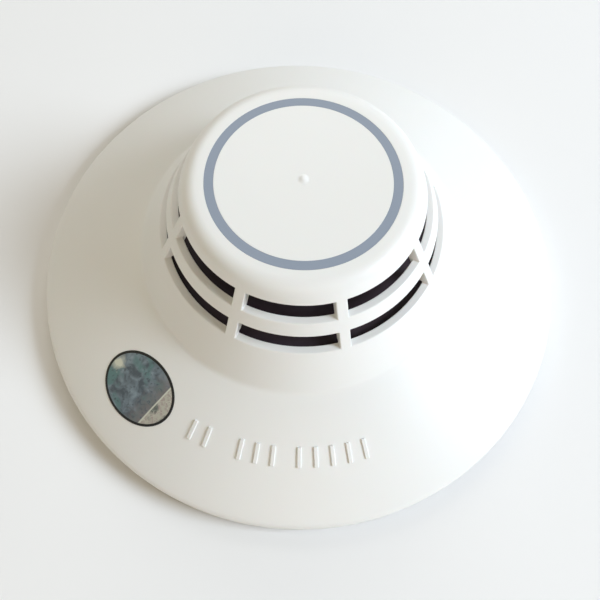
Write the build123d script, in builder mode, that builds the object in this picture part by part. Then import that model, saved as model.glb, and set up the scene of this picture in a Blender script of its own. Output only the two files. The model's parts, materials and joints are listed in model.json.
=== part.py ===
from build123d import *

# Heat detector that twists on to a mounting base.
#
# Frame: the origin is the centre of the mounting base's back face, which lies on the ceiling.
# +Z points out into the room, towards the crown. Azimuths are degrees about +Z, from +X.
# The detector is drawn locked on its base; it unlocks by a positive turn about +Z.
# All sizes are millimetres.

import os
from math import cos, radians, sin

os.makedirs("parts", exist_ok=True)

# ---------------------------------------------------------------- driving dimensions

# Cover: the outside form
overall_diameter = 155.0
crown_height = 53.5          # back face of the base to the flat of the crown
rim_lift = 1.0               # the rim hangs this far off the ceiling
rim_height = 5.0             # upright band of the rim, up to its sharp corner
rim_fillet = 2.5
foot_radius = 45.3           # where the head rises from the flange
foot_height = 23.0
foot_fillet = 3.0
flange_bulge = 0.8           # how far the flange arches over its chord
crown_draft = 1.8            # the crown's wall leans in by this much up to its flat
crown_fillet = 4.6
cover_wall = 2.0
moulding_gap = 0.5           # each ring clears the one above it, so the mould pulls straight

# Cover: the vents
vent_count = 8
vent_top_radius = 31.0
vent_top_drop = 5.0          # crown's flat down to the upper vents
vent_height = 5.1
vent_ring_height = 3.9
head_taper = 0.5             # radius gained for each millimetre down the head
rib_width = 2.9
rib_depth = 3.2
rib_azimuth = 18.7           # of the first rib

# Cover: inside
seat_margin = 0.5            # the seat reaches this far past the chassis
flange_rib_count = 16
flange_rib_width = 1.2
flange_rib_height = 3.0
flange_rib_inset = 4.5       # from the rim
boss_inset = 3.25            # from the foot of the head's inner wall to a boss's centre
boss_radius = 2.8
boss_length = 6.0

# Marking ring and light guide in the crown
ring_inset = 5.1             # in from the crown's sharp corner
ring_width = 2.3
ring_depth = 0.8
guide_radius = 1.5
guide_proud = 0.4
guide_collar_radius = 2.4
guide_collar_height = 1.0
guide_lamp_gap = 0.3
dome_share = 0.9             # how much of a lamp's or a guide's edge is rounded away

# Mounting base
base_plate = 3.0
base_wall = 2.5
base_height = 13.2
cable_opening_radius = 22.0
screw_slot_width = 4.4
screw_slot_length = 8.0
near_slot_spacing = 60.0     # along X
far_slot_spacing = 83.5      # along Y
slot_recess_margin = 2.0     # of the screw heads' recess round a slot
slot_recess_depth = 1.0
gusset_count = 12
gusset_azimuth = 20.0
gusset_width = 1.2
gusset_height = 4.0
gusset_reach = 2.0
base_edge_chamfer = 0.8

# Bayonet between base and detector
bayonet_reach = 3.0          # between the chassis and the base's wall
lug_count = 3
lug_azimuth = 0.0
lug_span = 22.0
lug_height = 2.4
lug_lead_in = 0.8
hook_span = 22.0
hook_height = 2.0
unlock_turn = 24.0
stop_play = 1.0              # degrees between a lug and its stop
stop_span = 2.5
bayonet_gap = 0.3

# Rear chassis
chassis_margin = 6.5         # from a screw's centre to the chassis's edge
chassis_wall = 2.0
chassis_plate = 2.0
chassis_bottom = 8.5
pillar_radius = 3.5
board_post_radius = 2.5
board_post_inset = 5.0       # in from the board's edge
board_post_count = 4
board_post_height = 4.0
board_pin_radius = 1.0
board_pin_clearance = 0.05
board_pin_proud = 0.6

# Contacts
contact_count = 4
contact_azimuth = 45.0
contact_inset = 10.5         # from the chassis's edge to the middle of a blade's upright
blade_thickness = 0.8
blade_span = 14.0
blade_drop = 4.6             # below the chassis
blade_foot = 5.0
clip_thickness = 0.6
clip_span = 12.0
clip_leaf_height = 3.2
clip_foot = 9.0
clip_flare = 1.0             # how far a leaf's mouth opens
clip_flare_length = 2.5
contact_play = 0.1
rivet_radius = 1.0
rivet_head_radius = 1.6
rivet_head_height = 0.6
rivet_inset = 3.4            # in from the blade's upright
tail_width = 1.2             # as thick as its blade
tail_turn = 5.0              # degrees from the rivet to the blade's tail
tail_clearance = 0.1
tail_proud = 0.8             # above the board
terminal_inset = 7.0         # in from the blade's upright
terminal_screw_radius = 1.75
terminal_head_radius = 3.1
terminal_head_height = 2.0
clamp_size = 6.8
clamp_thickness = 0.8
pilot_depth = 2.4
driver_slot_width = 0.8
driver_slot_depth = 0.7
terminal_slot_length = 4.6

# Circuit board and what stands on it
board_margin = 0.5           # between the board and the screw pillars
board_thickness = 1.6
chip_size = 7.0
chip_height = 1.6
chip_centre = (14.0, -12.0)
capacitor_radius = 2.5
capacitor_height = 7.0
capacitor_centres = ((-14.0, -14.0), (-21.0, -9.0), (-13.0, 16.0))
reed_radius = 1.1
reed_length = 14.0
reed_centre = (0.0, -24.0)
lamp_radius = 1.5
lamp_flange_radius = 1.9
lamp_flange_height = 1.0
lamp_height = 4.2
bead_radius = 1.3
bead_length = 4.0
bead_dome_share = 0.7
bead_gap = 4.5               # from the sensing bead up to the crown's underside
sensing_offset = 8.0         # from the axis, along +X
reference_centre = (-20.0, 10.0)
reference_bead_height = 22.0
lead_radius = 0.3
lead_spread = 0.8

# Inner shield
shield_wall = 1.5
shield_drop = 1.8            # from the lower vents' sill down to the shield's brim
shield_shell_gap = 0.35
shield_brim_width = 6.8
shield_overhang = 1.1        # the brim stands out this far past the skirt
shield_foot_step = 0.3       # from the board's edge in to the skirt's foot
shield_crown_radius = 12.0
shield_rise = 2.9
shield_guide_gap = 0.2
shield_lead_hole = 1.5

# Chassis screws
chassis_screw_radius = 1.5
chassis_screw_clearance = 0.1
chassis_head_radius = 2.6
chassis_head_height = 1.8
chassis_head_recess = 2.2
screw_thread_gap = 0.02
cross_slot_length = 2.4

# Address switches
dial_spacing = 18.0
dial_radius = 4.2
dial_gap = 0.5
dial_thickness = 1.8
dial_recess = 0.3
dial_stem_radius = 1.5
dial_stem_length = 2.0
dial_slot_length = 6.3
dial_arrow_size = 2.1
running_fit = 0.05
switch_body_size = 10.0
switch_gap = 0.3

# ---------------------------------------------------------------- places that follow from them

cover_radius = overall_diameter / 2
rim_corner_height = rim_lift + rim_height
crown_flat_radius = vent_top_radius - crown_draft
crown_underside = crown_height - cover_wall
ring_outer_radius = crown_flat_radius - ring_inset
ring_inner_radius = ring_outer_radius - ring_width

upper_vent_top = crown_height - vent_top_drop
upper_vent_bottom = upper_vent_top - vent_height
lower_vent_top = upper_vent_bottom - vent_ring_height
lower_vent_bottom = lower_vent_top - vent_height


def head_radius(z):
    """Outer radius of the vented head's cone at height z."""
    return vent_top_radius + head_taper * (upper_vent_top - z)


shell_lip_radius = head_radius(lower_vent_top) + moulding_gap
shell_flare = (foot_radius - head_radius(lower_vent_bottom)) / (lower_vent_bottom - foot_height)
shell_inner_radius = shell_lip_radius + shell_flare * (lower_vent_bottom - foot_height)

# The chassis and the base are laid out from the screws, which stand close to the shell's wall
screw_circle = shell_inner_radius - boss_inset
chassis_radius = screw_circle + chassis_margin
seat_radius = chassis_radius + seat_margin
base_wall_inner = chassis_radius + bayonet_reach
base_radius = base_wall_inner + base_wall
board_radius = screw_circle - pillar_radius - board_margin
board_post_circle = board_radius - board_post_inset

# Underside of the flange: one wall thickness inside the outer chord
flange_slope = (foot_height - rim_corner_height) / (cover_radius - foot_radius)
flange_drop = cover_wall * (1 + flange_slope**2) ** 0.5
rim_inner_radius = cover_radius - cover_wall
flange_rib_end = cover_radius - flange_rib_inset


def flange_underside(radius):
    """Height of the flange's inner chord at a radius."""
    return rim_corner_height + flange_slope * (cover_radius - radius) - flange_drop


seat_height = flange_underside(seat_radius)

bead_height = crown_underside - bead_gap - bead_length
shield_brim_top = lower_vent_bottom - shield_drop
shield_brim_radius = shell_lip_radius + shell_flare * shield_drop - shield_shell_gap
shield_skirt_radius = shield_brim_radius - shield_overhang
shield_foot_radius = board_radius - shield_foot_step
shield_flat_radius = shield_brim_radius - shield_brim_width
shield_crown_top = shield_brim_top + shield_rise

chassis_top = chassis_bottom + chassis_plate
board_bottom = chassis_top + board_post_height
board_top = board_bottom + board_thickness
lug_radius = base_wall_inner - bayonet_gap
lug_top = chassis_bottom + lug_height
hook_radius = chassis_radius + bayonet_gap
hook_bottom = lug_top + bayonet_gap
contact_radius = chassis_radius - contact_inset
contact_azimuths = [contact_azimuth + n * 360 / contact_count for n in range(contact_count)]
lug_azimuths = [lug_azimuth + n * 360 / lug_count for n in range(lug_count)]
screw_azimuths = [azimuth + 180 for azimuth in lug_azimuths]
blade_inner_radius = contact_radius - blade_thickness / 2
blade_outer_radius = contact_radius + blade_thickness / 2
leaf_inner_radius = blade_inner_radius - contact_play
leaf_outer_radius = blade_outer_radius + contact_play
terminal_radius = contact_radius - terminal_inset
rivet_circle = contact_radius - rivet_inset
tail_azimuths = [azimuth + tail_turn for azimuth in contact_azimuths]
tail_slot_thickness = blade_thickness + 2 * tail_clearance
tail_slot_width = tail_width + 2 * tail_clearance
dial_centres = [(-dial_spacing / 2, 0.0), (dial_spacing / 2, 0.0)]
dial_bottom = chassis_bottom + dial_recess


def radial_plane(azimuth):
    """Upright plane through the Z axis: its x runs outwards at the azimuth, its y runs up."""
    a = radians(azimuth)
    return Plane(origin=(0, 0, 0), x_dir=(cos(a), sin(a), 0), z_dir=(sin(a), -cos(a), 0))


def tangent_plane(azimuth, radius, height):
    """Level plane centred at a radius and height, with its x running outwards."""
    a = radians(azimuth)
    return Plane(origin=(radius * cos(a), radius * sin(a), height), x_dir=(cos(a), sin(a), 0))


def level_planes(azimuths, radius, height):
    """One level plane for each azimuth, all at the same radius and height."""
    return [tangent_plane(azimuth, radius, height) for azimuth in azimuths]


def finish(builder, name):
    """Label a finished piece and write it as a STEP file."""
    builder.part.label = name
    export_step(builder.part, f"parts/{name}.step")


# ---------------------------------------------------------------- detector cover

# One moulding: the flange and lower shell, the vent ring and the crown are turned profiles,
# and eight ribs tie the three together across two rows of vents.
with BuildPart() as detector_cover:
    with BuildSketch(Plane.XZ):
        with BuildLine():
            rim = Polyline(
                (rim_inner_radius, rim_corner_height - flange_drop),
                (rim_inner_radius, rim_lift),
                (cover_radius, rim_lift),
                (cover_radius, rim_corner_height),
            )
            SagittaArc(rim @ 1, (foot_radius, foot_height), -flange_bulge)
            shell = Polyline(
                (foot_radius, foot_height),
                (head_radius(lower_vent_bottom), lower_vent_bottom),
                (shell_lip_radius, lower_vent_bottom),
                (shell_inner_radius, foot_height),
                (shell_inner_radius, seat_height),
                (seat_radius, seat_height),
            )
            SagittaArc(shell @ 1, rim @ 0, flange_bulge)
        make_face()
        corner = (cover_radius, rim_corner_height, 0)
        fillet(vertices(Select.ALL).sort_by_distance(corner)[0], radius=rim_fillet)
        foot = (foot_radius, foot_height, 0)
        fillet(vertices(Select.ALL).sort_by_distance(foot)[0], radius=foot_fillet)
    revolve(axis=Axis.Z)

    with BuildSketch(Plane.XZ):
        with BuildLine():
            Polyline(
                (head_radius(lower_vent_top), lower_vent_top),
                (head_radius(upper_vent_bottom), upper_vent_bottom),
                (vent_top_radius + moulding_gap, upper_vent_bottom),
                (head_radius(lower_vent_top) - cover_wall, lower_vent_top),
                close=True,
            )
        make_face()
    revolve(axis=Axis.Z)

    with BuildSketch(Plane.XZ):
        with BuildLine():
            Polyline(
                (0, crown_height),
                (crown_flat_radius, crown_height),
                (vent_top_radius, upper_vent_top),
                (vent_top_radius - cover_wall, upper_vent_top),
                (crown_flat_radius - cover_wall, crown_underside),
                (0, crown_underside),
                close=True,
            )
        make_face()
        crown_corner = (crown_flat_radius, crown_height, 0)
        fillet(vertices(Select.ALL).sort_by_distance(crown_corner)[0], radius=crown_fillet)
    revolve(axis=Axis.Z)

    # Ribs: their outer edge is the head's cone, their inner edge runs up to the crown
    rib_top = upper_vent_top + moulding_gap
    rib_bottom = lower_vent_bottom - moulding_gap
    rib_planes = [radial_plane(rib_azimuth + n * 360 / vent_count) for n in range(vent_count)]
    with BuildSketch(*rib_planes):
        with BuildLine():
            Polyline(
                (head_radius(rib_top), rib_top),
                (head_radius(rib_bottom), rib_bottom),
                (head_radius(rib_bottom) - rib_depth, rib_bottom),
                (vent_top_radius - rib_depth, upper_vent_top),
                (vent_top_radius - rib_depth, crown_underside),
                (vent_top_radius - cover_wall, crown_underside),
                (vent_top_radius - cover_wall, rib_top),
                close=True,
            )
        make_face()
    extrude(amount=rib_width / 2, both=True)

    # Stiffening ribs under the flange
    flange_ribs = [radial_plane((n + 0.5) * 360 / flange_rib_count) for n in range(flange_rib_count)]
    rib_start = base_radius + cover_wall
    with BuildSketch(*flange_ribs):
        with BuildLine():
            Polyline(
                (rib_start, flange_underside(rib_start) + flange_bulge),
                (flange_rib_end, flange_underside(flange_rib_end) + flange_bulge),
                (flange_rib_end, flange_underside(flange_rib_end) - flange_rib_height / 2),
                (rib_start, flange_underside(rib_start) - flange_rib_height),
                close=True,
            )
        make_face()
    extrude(amount=flange_rib_width / 2, both=True)

    # Screw bosses inside the head
    with BuildSketch(*level_planes(screw_azimuths, screw_circle, seat_height)):
        Circle(boss_radius)
        Rectangle(boss_inset, 2 * boss_radius, align=(Align.MIN, Align.CENTER))
    extrude(amount=boss_length)
    with BuildSketch(*level_planes(screw_azimuths, screw_circle, seat_height)):
        Circle(chassis_screw_radius + screw_thread_gap)
    extrude(amount=boss_length - cover_wall / 2, mode=Mode.SUBTRACT)

    # Groove for the marking ring, and the light guide's hole
    with BuildSketch(Plane.XY.offset(crown_height)):
        Circle(ring_outer_radius)
        Circle(ring_inner_radius, mode=Mode.SUBTRACT)
    extrude(amount=-ring_depth, mode=Mode.SUBTRACT)
    with BuildSketch(Plane.XY.offset(crown_height)):
        Circle(guide_radius)
    extrude(amount=-cover_wall, mode=Mode.SUBTRACT)
finish(detector_cover, "detector_cover")

# ---------------------------------------------------------------- crown trim

with BuildPart() as marking_ring:
    with BuildSketch(Plane.XY.offset(crown_height - ring_depth)):
        Circle(ring_outer_radius)
        Circle(ring_inner_radius, mode=Mode.SUBTRACT)
    extrude(amount=ring_depth)
finish(marking_ring, "marking_ring")

# The guide starts just over the lamp, and its collar bears on the crown from inside
lamp_top = board_top + lamp_height
with BuildPart() as light_guide:
    with BuildSketch(Plane.XZ):
        with BuildLine():
            Polyline(
                (0, lamp_top + guide_lamp_gap),
                (guide_radius, lamp_top + guide_lamp_gap),
                (guide_radius, crown_underside - guide_collar_height),
                (guide_collar_radius, crown_underside - guide_collar_height),
                (guide_collar_radius, crown_underside),
                (guide_radius, crown_underside),
                (guide_radius, crown_height + guide_proud),
                (0, crown_height + guide_proud),
                close=True,
            )
        make_face()
        nub_corner = (guide_radius, crown_height + guide_proud, 0)
        fillet(vertices(Select.ALL).sort_by_distance(nub_corner)[0], radius=dome_share * guide_proud)
    revolve(axis=Axis.Z)
finish(light_guide, "light_guide")

# ---------------------------------------------------------------- inner shield

sensing_centre = (sensing_offset, 0.0)
with BuildPart() as inner_shield:
    with BuildSketch(Plane.XZ):
        with BuildLine():
            brim_bottom = shield_brim_top - shield_wall
            Polyline(
                (shield_foot_radius, board_top),
                (shield_skirt_radius, brim_bottom),
                (shield_brim_radius, brim_bottom),
                (shield_brim_radius, shield_brim_top),
                (shield_flat_radius, shield_brim_top),
                (shield_crown_radius, shield_crown_top),
                (0, shield_crown_top),
                (0, shield_crown_top - shield_wall),
                (shield_crown_radius, shield_crown_top - shield_wall),
                (shield_flat_radius, brim_bottom),
                (shield_skirt_radius - shield_wall, brim_bottom),
                (shield_foot_radius - shield_wall, board_top),
                close=True,
            )
        make_face()
    revolve(axis=Axis.Z)
    with BuildSketch(Plane.XY.offset(shield_crown_top)):
        Circle(guide_radius + shield_guide_gap)
        with Locations(sensing_centre):
            Circle(shield_lead_hole)
    extrude(amount=-2 * shield_wall, mode=Mode.SUBTRACT)
finish(inner_shield, "inner_shield")

# ---------------------------------------------------------------- rear chassis

lug_starts = [radial_plane(azimuth - lug_span / 2) for azimuth in lug_azimuths]
with BuildPart() as rear_chassis:
    with BuildSketch(Plane.XY.offset(chassis_bottom)):
        Circle(chassis_radius)
    extrude(amount=chassis_plate)
    with BuildSketch(Plane.XY.offset(chassis_bottom)):
        Circle(chassis_radius)
        Circle(chassis_radius - chassis_wall, mode=Mode.SUBTRACT)
    extrude(amount=seat_height - chassis_bottom)

    # Bayonet lugs
    with BuildSketch(*lug_starts):
        with BuildLine():
            Polyline(
                (chassis_radius - chassis_wall / 2, chassis_bottom),
                (lug_radius, chassis_bottom),
                (lug_radius, lug_top),
                (chassis_radius - chassis_wall / 2, lug_top),
                close=True,
            )
        make_face()
    revolve(axis=Axis.Z, revolution_arc=lug_span)
    lead_points = [plane.from_local_coords((hook_radius, lug_top, 0)) for plane in lug_starts]
    chamfer([edges().sort_by_distance(point)[0] for point in lead_points], length=lug_lead_in)

    # Screw pillars and board posts
    with BuildSketch(*level_planes(screw_azimuths, screw_circle, chassis_bottom)):
        Circle(pillar_radius)
    extrude(amount=seat_height - chassis_bottom)
    with BuildSketch(Plane.XY.offset(chassis_top)):
        with PolarLocations(board_post_circle, board_post_count):
            Circle(board_post_radius)
    extrude(amount=board_post_height)
    with BuildSketch(Plane.XY.offset(board_bottom)):
        with PolarLocations(board_post_circle, board_post_count):
            Circle(board_pin_radius)
    extrude(amount=board_thickness + board_pin_proud)

    # Screw holes with recesses for the heads
    with BuildSketch(*level_planes(screw_azimuths, screw_circle, chassis_bottom)):
        Circle(chassis_screw_radius + chassis_screw_clearance)
    extrude(amount=seat_height - chassis_bottom, mode=Mode.SUBTRACT)
    with BuildSketch(*level_planes(screw_azimuths, screw_circle, chassis_bottom)):
        Circle(chassis_head_radius + chassis_screw_clearance)
    extrude(amount=chassis_head_recess, mode=Mode.SUBTRACT)

    # Holes for the blades' rivets and tails, and windows for the address dials
    with BuildSketch(Plane.XY.offset(chassis_bottom)):
        with PolarLocations(rivet_circle, contact_count, start_angle=contact_azimuth):
            Circle(rivet_radius)
        with PolarLocations(rivet_circle, contact_count, start_angle=tail_azimuths[0]):
            Rectangle(tail_slot_thickness, tail_slot_width)
        with Locations(*dial_centres):
            Circle(dial_radius + dial_gap)
    extrude(amount=chassis_plate, mode=Mode.SUBTRACT)
finish(rear_chassis, "rear_chassis")

# ---------------------------------------------------------------- contact blades and rivets

for number, azimuth in enumerate(contact_azimuths, start=1):
    with BuildPart() as contact_blade:
        with BuildSketch(radial_plane(azimuth - blade_span / 2)):
            with BuildLine():
                Polyline(
                    (blade_outer_radius, chassis_bottom),
                    (blade_outer_radius, chassis_bottom - blade_drop),
                    (blade_inner_radius, chassis_bottom - blade_drop),
                    (blade_inner_radius, chassis_bottom - blade_thickness),
                    (blade_inner_radius - blade_foot, chassis_bottom - blade_thickness),
                    (blade_inner_radius - blade_foot, chassis_bottom),
                    close=True,
                )
            make_face()
        revolve(axis=Axis.Z, revolution_arc=blade_span)
        with BuildSketch(tangent_plane(azimuth, rivet_circle, chassis_bottom)):
            Circle(rivet_radius)
        extrude(amount=-blade_thickness, mode=Mode.SUBTRACT)
        with BuildSketch(tangent_plane(azimuth + tail_turn, rivet_circle, chassis_bottom)):
            Rectangle(blade_thickness, tail_width)
        extrude(amount=board_top + tail_proud - chassis_bottom)
    finish(contact_blade, f"contact_blade_{number}")

with BuildPart() as blade_rivets:
    with BuildSketch(*level_planes(contact_azimuths, rivet_circle, chassis_bottom - blade_thickness)):
        Circle(rivet_head_radius)
    extrude(amount=-rivet_head_height)
    with BuildSketch(*level_planes(contact_azimuths, rivet_circle, chassis_bottom - blade_thickness)):
        Circle(rivet_radius)
    extrude(amount=blade_thickness + chassis_plate)
    with BuildSketch(*level_planes(contact_azimuths, rivet_circle, chassis_top)):
        Circle(rivet_head_radius)
    extrude(amount=rivet_head_height)
finish(blade_rivets, "blade_rivets")

with BuildPart() as chassis_screws:
    screw_seat = chassis_bottom + chassis_head_recess
    with BuildSketch(*level_planes(screw_azimuths, screw_circle, screw_seat)):
        Circle(chassis_head_radius)
    extrude(amount=-chassis_head_height)
    with BuildSketch(*level_planes(screw_azimuths, screw_circle, screw_seat)):
        Circle(chassis_screw_radius)
    extrude(amount=seat_height + boss_length - cover_wall - screw_seat)
    with BuildSketch(*level_planes(screw_azimuths, screw_circle, screw_seat - chassis_head_height)):
        Rectangle(cross_slot_length, driver_slot_width)
        Rectangle(driver_slot_width, cross_slot_length)
    extrude(amount=driver_slot_depth, mode=Mode.SUBTRACT)
finish(chassis_screws, "chassis_screws")

# ---------------------------------------------------------------- circuit board and its parts

with BuildPart() as circuit_board:
    with BuildSketch(Plane.XY.offset(board_bottom)):
        Circle(board_radius)
        with PolarLocations(board_post_circle, board_post_count):
            Circle(board_pin_radius + board_pin_clearance, mode=Mode.SUBTRACT)
        with PolarLocations(rivet_circle, contact_count, start_angle=tail_azimuths[0]):
            Rectangle(tail_slot_thickness, tail_slot_width, mode=Mode.SUBTRACT)
    extrude(amount=board_thickness)
finish(circuit_board, "circuit_board")

with BuildPart() as microcontroller:
    with BuildSketch(Plane.XY.offset(board_top)):
        with Locations(chip_centre):
            Rectangle(chip_size, chip_size)
    extrude(amount=chip_height)
finish(microcontroller, "microcontroller")

with BuildPart() as capacitors:
    with BuildSketch(Plane.XY.offset(board_top)):
        with Locations(*capacitor_centres):
            Circle(capacitor_radius)
    extrude(amount=capacitor_height)
finish(capacitors, "capacitors")

with BuildPart() as reed_switch:
    reed_height = board_top + reed_radius
    with BuildSketch(Plane.YZ.offset(-reed_length / 2)):
        with Locations((reed_centre[1], reed_height)):
            Circle(reed_radius)
    extrude(amount=reed_length)
finish(reed_switch, "reed_switch")

with BuildPart() as indicator_lamp:
    with BuildSketch(Plane.XY.offset(board_top)):
        Circle(lamp_flange_radius)
    extrude(amount=lamp_flange_height)
    with BuildSketch(Plane.XY.offset(board_top + lamp_flange_height)):
        Circle(lamp_radius)
    extrude(amount=lamp_height - lamp_flange_height)
    fillet(faces().sort_by(Axis.Z)[-1].edges(), radius=dome_share * lamp_radius)
finish(indicator_lamp, "indicator_lamp")


def build_thermistor(name, centre, bead_bottom):
    """A glass bead that stands on two leads soldered in the board."""
    with BuildPart() as thermistor:
        with BuildSketch(Plane.XY.offset(board_top)):
            with Locations(centre):
                with GridLocations(2 * lead_spread, 0, 2, 1):
                    Circle(lead_radius)
        extrude(amount=bead_bottom + bead_radius - board_top)
        with BuildSketch(Plane.XY.offset(bead_bottom)):
            with Locations(centre):
                Circle(bead_radius)
        extrude(amount=bead_length)
        fillet(faces().sort_by(Axis.Z)[-1].edges(), radius=bead_dome_share * bead_radius)
    finish(thermistor, name)


build_thermistor("sensing_thermistor", sensing_centre, bead_height)
build_thermistor("reference_thermistor", reference_centre, reference_bead_height)

# ---------------------------------------------------------------- address switches

switch_bottom = dial_bottom + dial_thickness + switch_gap
with BuildPart() as address_switches:
    with BuildSketch(Plane.XY.offset(switch_bottom)):
        with Locations(*dial_centres):
            Rectangle(switch_body_size, switch_body_size)
    extrude(amount=board_bottom - switch_bottom)
    with BuildSketch(Plane.XY.offset(switch_bottom)):
        with Locations(*dial_centres):
            Circle(dial_stem_radius + running_fit)
    extrude(amount=dial_stem_length, mode=Mode.SUBTRACT)
finish(address_switches, "address_switches")


def build_dial(name, centre):
    """A code wheel with a screwdriver slot, turning on a stem in its switch."""
    with BuildPart() as dial:
        with BuildSketch(Plane.XY.offset(dial_bottom)):
            with Locations(centre):
                Circle(dial_radius)
        extrude(amount=dial_thickness)
        with BuildSketch(Plane.XY.offset(dial_bottom + dial_thickness)):
            with Locations(centre):
                Circle(dial_stem_radius)
        extrude(amount=dial_stem_length)
        with BuildSketch(Plane.XY.offset(dial_bottom)):
            with Locations(centre):
                Rectangle(driver_slot_width, dial_slot_length)
                with Locations((0, dial_radius / 2)):
                    Triangle(a=dial_arrow_size, b=dial_arrow_size, c=dial_arrow_size)
        extrude(amount=driver_slot_depth, mode=Mode.SUBTRACT)
    finish(dial, name)


build_dial("address_dial_tens", dial_centres[0])
build_dial("address_dial_units", dial_centres[1])

# ---------------------------------------------------------------- mounting base

hook_starts = [radial_plane(azimuth - hook_span / 2) for azimuth in lug_azimuths]
locked_edge = lug_span / 2 + stop_play
stop_starts = [azimuth - locked_edge - stop_span for azimuth in lug_azimuths]
stop_starts += [azimuth + locked_edge + unlock_turn for azimuth in lug_azimuths]
with BuildPart() as mounting_base:
    with BuildSketch():
        Circle(base_radius)
        Circle(cable_opening_radius, mode=Mode.SUBTRACT)
        with GridLocations(near_slot_spacing, 0, 2, 1):
            SlotOverall(screw_slot_length, screw_slot_width, mode=Mode.SUBTRACT)
        with GridLocations(0, far_slot_spacing, 1, 2):
            SlotOverall(screw_slot_length, screw_slot_width, rotation=90, mode=Mode.SUBTRACT)
    extrude(amount=base_plate)
    recess_width = screw_slot_width + 2 * slot_recess_margin
    recess_length = screw_slot_length + 2 * slot_recess_margin
    with BuildSketch(Plane.XY.offset(base_plate)):
        with GridLocations(near_slot_spacing, 0, 2, 1):
            SlotOverall(recess_length, recess_width)
        with GridLocations(0, far_slot_spacing, 1, 2):
            SlotOverall(recess_length, recess_width, rotation=90)
    extrude(amount=-slot_recess_depth, mode=Mode.SUBTRACT)
    with BuildSketch():
        Circle(base_radius)
        Circle(base_wall_inner, mode=Mode.SUBTRACT)
    extrude(amount=base_height)
    chamfer(edges().filter_by(GeomType.CIRCLE).group_by(Axis.Z)[-1].sort_by(SortBy.RADIUS)[-1],
            length=base_edge_chamfer)

    # Gussets between the plate and the wall
    gusset_step = 360 / gusset_count
    gusset_planes = [radial_plane(gusset_azimuth + n * gusset_step) for n in range(gusset_count)]
    with BuildSketch(*gusset_planes):
        with BuildLine():
            Polyline(
                (base_wall_inner - gusset_reach, base_plate / 2),
                (base_radius - base_wall / 2, base_plate / 2),
                (base_radius - base_wall / 2, base_plate + gusset_height),
                (base_wall_inner, base_plate + gusset_height),
                (base_wall_inner - gusset_reach, base_plate),
                close=True,
            )
        make_face()
    extrude(amount=gusset_width / 2, both=True)

    # Bayonet hooks over the lugs
    with BuildSketch(*hook_starts):
        with BuildLine():
            Polyline(
                (hook_radius, hook_bottom),
                (base_radius - base_wall / 2, hook_bottom),
                (base_radius - base_wall / 2, hook_bottom + hook_height),
                (hook_radius, hook_bottom + hook_height),
                close=True,
            )
        make_face()
    revolve(axis=Axis.Z, revolution_arc=hook_span)

    # Stops at both ends of the turn
    with BuildSketch(*[radial_plane(start) for start in stop_starts]):
        with BuildLine():
            Polyline(
                (hook_radius, base_plate / 2),
                (base_radius - base_wall / 2, base_plate / 2),
                (base_radius - base_wall / 2, lug_top),
                (hook_radius, lug_top),
                close=True,
            )
        make_face()
    revolve(axis=Axis.Z, revolution_arc=stop_span)

    # Pilot holes for the terminal screws
    with BuildSketch(*level_planes(contact_azimuths, terminal_radius, base_plate)):
        Circle(terminal_screw_radius)
    extrude(amount=-pilot_depth, mode=Mode.SUBTRACT)
finish(mounting_base, "mounting_base")

# ---------------------------------------------------------------- terminals on the base

clip_top = base_plate + clip_thickness
for number, azimuth in enumerate(contact_azimuths, start=1):
    with BuildPart() as contact_clip:
        with BuildSketch(radial_plane(azimuth - clip_span / 2)):
            with BuildLine():
                leaf_top = clip_top + clip_leaf_height
                Polyline(
                    (leaf_outer_radius + clip_thickness, base_plate),
                    (leaf_outer_radius + clip_thickness, leaf_top),
                    (leaf_outer_radius, leaf_top),
                    (leaf_outer_radius, clip_top),
                    (leaf_inner_radius, clip_top),
                    (leaf_inner_radius, leaf_top),
                    (leaf_inner_radius - clip_thickness, leaf_top),
                    (leaf_inner_radius - clip_thickness, clip_top),
                    (leaf_inner_radius - clip_thickness - clip_foot, clip_top),
                    (leaf_inner_radius - clip_thickness - clip_foot, base_plate),
                    close=True,
                )
            make_face()
        revolve(axis=Axis.Z, revolution_arc=clip_span)

        # The leaves open towards the side from which the blade comes
        with BuildSketch(tangent_plane(azimuth + clip_span / 2, 0, clip_top)):
            for leaf_face, outwards in ((leaf_outer_radius, 1), (leaf_inner_radius, -1)):
                leaf_back = leaf_face + outwards * clip_thickness
                opening = outwards * clip_flare
                with BuildLine():
                    Polyline(
                        (leaf_face, 0),
                        (leaf_back, 0),
                        (leaf_back + opening, clip_flare_length),
                        (leaf_face + opening, clip_flare_length),
                        close=True,
                    )
                make_face()
        extrude(amount=clip_leaf_height)

        with BuildSketch(tangent_plane(azimuth, terminal_radius, base_plate)):
            Circle(terminal_screw_radius)
        extrude(amount=clip_thickness, mode=Mode.SUBTRACT)
    finish(contact_clip, f"contact_clip_{number}")

with BuildPart() as wire_clamps:
    with BuildSketch(*level_planes(contact_azimuths, terminal_radius, clip_top)):
        Rectangle(clamp_size, clamp_size)
        Circle(terminal_screw_radius, mode=Mode.SUBTRACT)
    extrude(amount=clamp_thickness)
finish(wire_clamps, "wire_clamps")

with BuildPart() as terminal_screws:
    head_seat = clip_top + clamp_thickness
    with BuildSketch(*level_planes(contact_azimuths, terminal_radius, head_seat)):
        Circle(terminal_head_radius)
    extrude(amount=terminal_head_height)
    with BuildSketch(*level_planes(contact_azimuths, terminal_radius, head_seat)):
        Circle(terminal_screw_radius)
    extrude(amount=-(clamp_thickness + clip_thickness + pilot_depth - driver_slot_depth))
    with BuildSketch(*level_planes(contact_azimuths, terminal_radius, head_seat + terminal_head_height)):
        Rectangle(terminal_slot_length, driver_slot_width)
    extrude(amount=-driver_slot_depth, mode=Mode.SUBTRACT)
finish(terminal_screws, "terminal_screws")
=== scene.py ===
"""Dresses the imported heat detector: its finishes, its softened mouldings and fitted detail, light and camera.

The detector lies on its back, crown up. Every size is in millimetres and is turned to metres where a
point is made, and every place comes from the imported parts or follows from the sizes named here.
"""

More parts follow.
